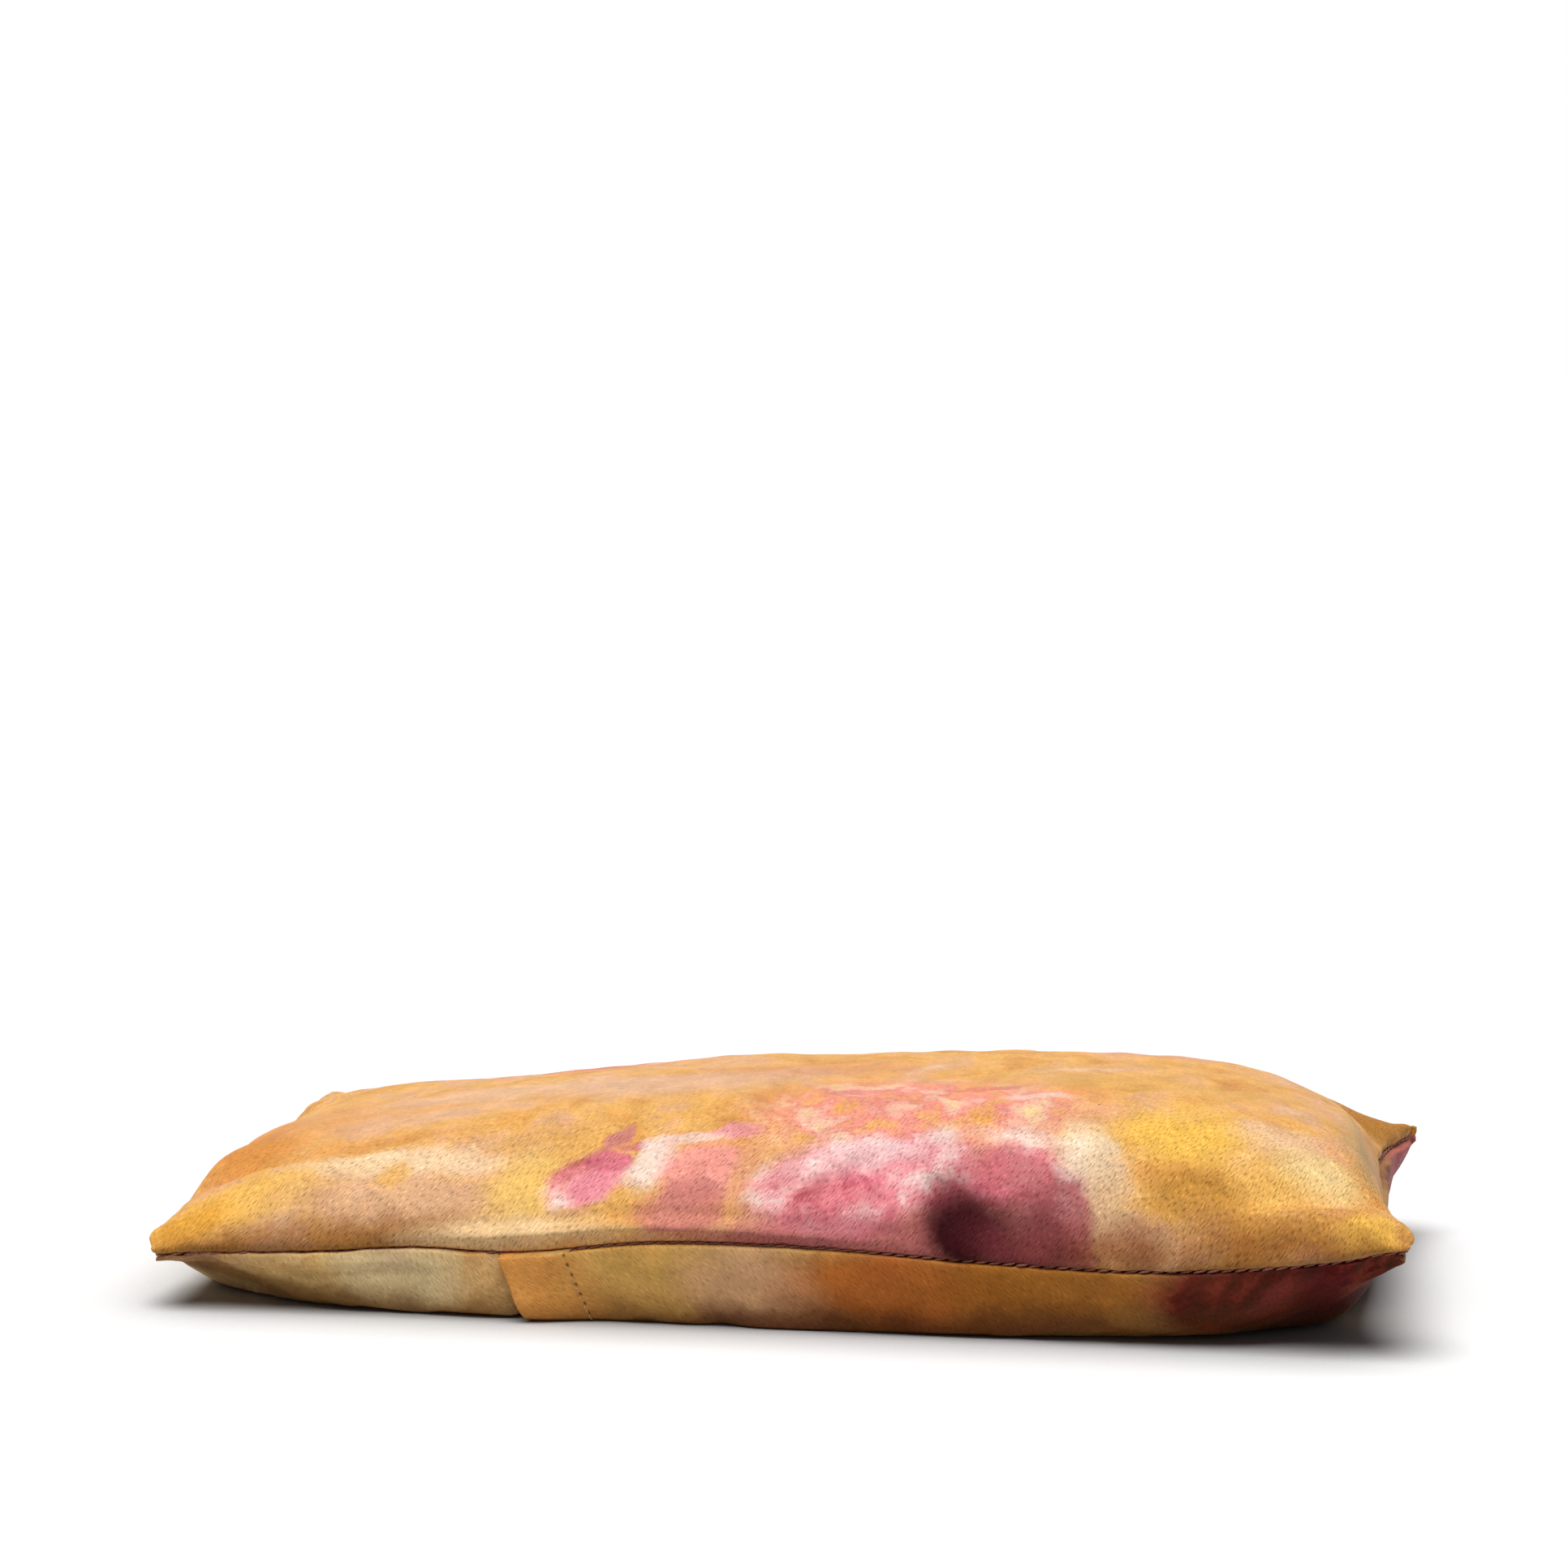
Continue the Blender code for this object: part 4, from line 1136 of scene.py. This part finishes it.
        # Pits of the needle between the hem's stitches, drawn as painted shade in their hollows
        hem_line = (HEM_WIDTH - HEM_STITCH_INSET) * MM
        parts = add_node(tree, "SeparateXYZ", {"Vector": cloth}).node.outputs
        aside = add_node(tree, "Math", {0: parts[0], 1: hem_line}, operation="SUBTRACT")
        pitch = add_node(tree, "Math", {0: parts[1], 1: HEM_PITCH * MM / 2}, operation="PINGPONG")
        drawn_out = add_node(tree, "Math", {0: pitch, 1: 0.6}, operation="MULTIPLY")
        pit = add_node(tree, "CombineXYZ", {0: aside, 1: drawn_out})
        reach = add_node(tree, "VectorMath", {0: pit}, "Value", operation="LENGTH")
        needle_pit_shade = add_node(tree, "MapRange", {
            "Value": reach, "From Min": NEEDLE_PIT[0], "From Max": NEEDLE_PIT[1], "To Min": 0.3})
        tone = add_node(tree, "Math", {0: tone, 1: needle_pit_shade}, operation="MULTIPLY")
    shaded = add_node(tree, "VectorMath", {0: colour, "Scale": tone}, operation="SCALE")
    rough = add_node(tree, "MapRange", {"Value": height, "From Min": -1.0, "To Min": 0.62, "To Max": 0.42})
    bump = add_node(tree, "Bump", {"Strength": contrast, "Distance": FLECK_RELIEF, "Height": height})
    set_sockets(tree, shader, {
        "Base Color": shaded, "Roughness": rough, "Normal": bump, "Specular IOR Level": 0.06,
        "Sheen Weight": 0.03, "Sheen Roughness": 0.4, "Sheen Tint": linear("#d9a860")})
    return material


WAVE_SCALE = math.pi / 10  # scale at which a wave texture has one band in a metre
THREAD_TWIST = 0.5 * MM
THREAD_RELIEF = 0.05 * MM
TWIST_TURN = 40.0


def sewing_thread(name, light_hex, dark_hex):
    """Spun thread: matt, with the fine slanted lines of its twist."""
    material, tree, shader = new_material(name)
    length = add_node(tree, "UVMap", {}, uv_map="cloth")
    turned = add_node(tree, "Mapping", {"Vector": length, "Rotation": (0, 0, math.radians(TWIST_TURN))})
    twist = add_node(tree, "TexWave", {
        "Vector": turned, "Scale": WAVE_SCALE / THREAD_TWIST, "Distortion": 0.5}, "Fac")
    colour = add_node(tree, "Mix", {0: twist, 6: linear(dark_hex), 7: linear(light_hex)}, 2, data_type="RGBA")
    bump = add_node(tree, "Bump", {"Strength": 0.5, "Distance": THREAD_RELIEF, "Height": twist})
    set_sockets(tree, shader, {"Base Color": colour, "Normal": bump, "Roughness": 0.6, "Sheen Weight": 0.2})
    return material


MUSLIN_PITCH = 0.55 * MM
MUSLIN_RELIEF = 0.15 * MM
MUSLIN_SLUB = 2.5 * MM
HUSK_SPACING = 6 * MM


def unbleached_muslin():
    """Unbleached cotton muslin: a plain weave of uneven threads, with specks of husk."""
    material, tree, shader = new_material("unbleached_cotton_muslin")
    cloth = add_node(tree, "UVMap", {}, uv_map="cloth")
    waves = [add_node(tree, "TexWave", {
        "Vector": cloth, "Scale": WAVE_SCALE / MUSLIN_PITCH, "Distortion": 0.6, "Detail Scale": 0.4},
        "Fac", bands_direction=direction) for direction in ("X", "Y")]
    weave = add_node(tree, "Math", {0: waves[0], 1: waves[1]}, operation="ADD")
    slub = add_node(tree, "TexNoise", {"Vector": cloth, "Scale": 1 / MUSLIN_SLUB, "Detail": 3.0})
    husk = add_node(tree, "TexVoronoi", {"Vector": cloth, "Scale": 1 / HUSK_SPACING}, "Distance")
    speck = add_node(tree, "MapRange", {"Value": husk, "From Min": 0.03, "From Max": 0.06, "To Min": 0.6})
    plain = add_node(tree, "Mix", {0: slub, 6: linear("#e4d9c2"), 7: linear("#f0e8d6")}, 2, data_type="RGBA")
    colour = add_node(tree, "VectorMath", {0: plain, "Scale": speck}, operation="SCALE")
    bump = add_node(tree, "Bump", {"Strength": 0.5, "Distance": MUSLIN_RELIEF, "Height": weave})
    set_sockets(tree, shader, {"Base Color": colour, "Normal": bump, "Roughness": 0.85})
    return material


SEED_SIZE = 3.0 * MM
SEED_BUMP = 0.6 * MM
FLOWER_LEVEL = 0.93        # the grains above it are flowers


def flax_and_lavender():
    """Flax seed with dried lavender: small glossy brown grains, a few of them grey-violet."""
    material, tree, shader = new_material("flax_seed_with_lavender")
    place = add_node(tree, "TexCoord", {}, "Object")
    grains = add_node(tree, "TexVoronoi", {"Vector": place, "Scale": 1 / SEED_SIZE}).node.outputs
    parts = add_node(tree, "SeparateXYZ", {"Vector": grains["Color"]}).node.outputs
    brown = add_node(tree, "Mix", {
        0: parts[0], 6: linear("#6b3f22"), 7: linear("#94622f")}, 2, data_type="RGBA")
    flower = add_node(tree, "Math", {0: parts[1], 1: FLOWER_LEVEL}, operation="GREATER_THAN")
    colour = add_node(tree, "Mix", {0: flower, 6: brown, 7: linear("#6f6480")}, 2, data_type="RGBA")
    bump = add_node(tree, "Bump", {
        "Strength": 0.8, "Distance": SEED_BUMP, "Height": grains["Distance"]}, invert=True)
    set_sockets(tree, shader, {"Base Color": colour, "Normal": bump, "Roughness": 0.35})
    return material


top_silk = dyed_silk("hand_dyed_silk_twill_top", TOP_GROUND, TOP_BLOOMS_AND_PAINTED_LIGHT, 1.0)
left_silk = dyed_silk("hand_dyed_silk_twill_left_back", LEFT_GROUND, LEFT_BLOOMS_AND_PAINTED_SHADE, 0.6)
right_silk = dyed_silk("hand_dyed_silk_twill_right_back", RIGHT_GROUND, RIGHT_BLOOMS_AND_PAINTED_SHADE, 0.6, needle_holes=True)
red_thread = sewing_thread("spun_polyester_thread_red_brown", "#96503a", "#683022")
tan_thread = sewing_thread("spun_polyester_thread_golden_tan", "#d9ab66", "#a87638")
natural_thread = sewing_thread("cotton_thread_natural", "#efe6d2", "#cfc2a6")
muslin = unbleached_muslin()
seed = flax_and_lavender()

top = build_top(top_silk)
overlap = build_overlap(right_silk)
underlap = build_underlap(left_silk)
cover_stitches = build_cover_stitches(red_thread)
overlap_stitches = build_overlap_stitches(tan_thread)
underlap_stitches = build_underlap_stitches(tan_thread)
insert_top = build_insert_panel("insert_top_muslin", insert_upper, 1, muslin)
insert_bottom = build_insert_panel("insert_bottom_muslin", insert_lower, -1, muslin)
insert_stitches = build_insert_stitches(natural_thread)
closing_stitches = build_closing_stitches(natural_thread)
seed_bulk = build_seed(seed)

for piece, node, slot in (
    (top, "top_panel", "silk_top"),
    (overlap, "back_panel_overlap", "silk_right_back"),
    (underlap, "back_panel_underlap", "silk_left_back"),
    (cover_stitches, "cover_seam_thread", "cover_thread"),
    (overlap_stitches, "overlap_hem_thread", "hem_thread"),
    (underlap_stitches, "underlap_hem_thread", "hem_thread"),
    (insert_top, "insert_top_panel", "muslin"),
    (insert_bottom, "insert_bottom_panel", "muslin"),
    (insert_stitches, "insert_seam_thread", "insert_thread"),
    (closing_stitches, "insert_closing_thread", "insert_thread"),
    (seed_bulk, "flax_seed_fill", "flax_seed"),
):
    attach(piece, "root")
    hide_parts(node)


# Floor, light and camera
TABLE_REACH = 60.0         # in metres
TABLE_BOUNCE = 0.6         # what the table throws back on the pillow, where 1 is white
CONTACT_REACH = 22.0 * MM  # how far the soft shade beside the pillow spreads over the table
CONTACT_SHADE = 0.45
SKY = 0.12
SUN = 3.02
SUN_FROM = (-0.12, -0.28, 1.0)
SUN_WIDTH = 45.0


def looked_at(tree):
    """Return 1 for what the camera sees, straight, in gloss or through glass, and 0 for what only lights."""
    path = add_node(tree, "LightPath", {}).node.outputs
    seen = path["Is Camera Ray"]
    for ray in ("Is Glossy Ray", "Is Transmission Ray"):
        seen = add_node(tree, "Math", {0: seen, 1: path[ray]}, operation="MAXIMUM")
    return seen


def build_stage():
    """Add a white table, with a soft shade beside the pillow and little bounce up to its underside."""
    mesh = bpy.data.meshes.new("floor")
    corners = [(-1, -1, 0), (1, -1, 0), (1, 1, 0), (-1, 1, 0)]
    mesh.from_pydata([Vector(corner) * TABLE_REACH for corner in corners], [], [(0, 1, 2, 3)])
    floor = bpy.data.objects.new("floor", mesh)
    bpy.context.collection.objects.link(floor)
    material, tree, _ = new_material("white_table")
    open_sky = add_node(tree, "AmbientOcclusion", {"Distance": CONTACT_REACH}, "AO", samples=8)
    white = add_node(tree, "MapRange", {
        "Value": open_sky, "From Min": 0.45, "From Max": 0.95, "To Min": CONTACT_SHADE})
    bounce = add_node(tree, "MapRange", {"Value": looked_at(tree), "To Min": TABLE_BOUNCE, "To Max": white})
    paint = add_node(tree, "BsdfDiffuse", {"Color": bounce})
    set_sockets(tree, tree.nodes["Material Output"], {"Surface": paint})
    mesh.materials.append(material)


def build_light():
    """Add one broad soft lamp overhead and a pale sky that fills the shade."""
    light = bpy.data.lights.new("overhead", "SUN")
    light.energy = SUN
    light.angle = math.radians(SUN_WIDTH)
    lamp = bpy.data.objects.new("overhead", light)
    lamp.rotation_euler = Vector(SUN_FROM).to_track_quat("Z", "Y").to_euler()
    bpy.context.collection.objects.link(lamp)
    world = bpy.data.worlds.new("studio")
    bpy.context.scene.world = world
    world.use_nodes = True
    tree = world.node_tree
    level = add_node(tree, "MapRange", {"Value": looked_at(tree), "To Min": SKY, "To Max": 1.0})
    set_sockets(tree, tree.nodes["Background"], {"Color": (1, 1, 1, 1), "Strength": level})


CAMERA_PLACE = (0.1046, -0.7424, 0.1713)
CAMERA_LENS = 92.08
CAMERA_YAW = -8.489
CAMERA_PITCH = 5.974
CAMERA_ROLL = 0.398


def build_camera():
    data = bpy.data.cameras.new("camera")
    data.sensor_width = 36.0
    data.lens = CAMERA_LENS
    camera = bpy.data.objects.new("camera", data)
    bpy.context.collection.objects.link(camera)
    yaw, pitch, roll = (math.radians(angle) for angle in (CAMERA_YAW, CAMERA_PITCH, CAMERA_ROLL))
    forward = Vector((math.sin(yaw) * math.cos(pitch), math.cos(yaw) * math.cos(pitch), -math.sin(pitch)))
    right = Vector((math.cos(yaw), -math.sin(yaw), 0))
    turn = Matrix.Rotation(-roll, 3, forward)
    right = turn @ right
    up = right.cross(forward)
    pose = Matrix((right, up, -forward)).transposed().to_4x4()
    pose.translation = CAMERA_PLACE
    camera.matrix_world = pose
    bpy.context.scene.camera = camera


build_stage()
build_light()
build_camera()
bpy.context.scene.view_settings.view_transform = "Standard"
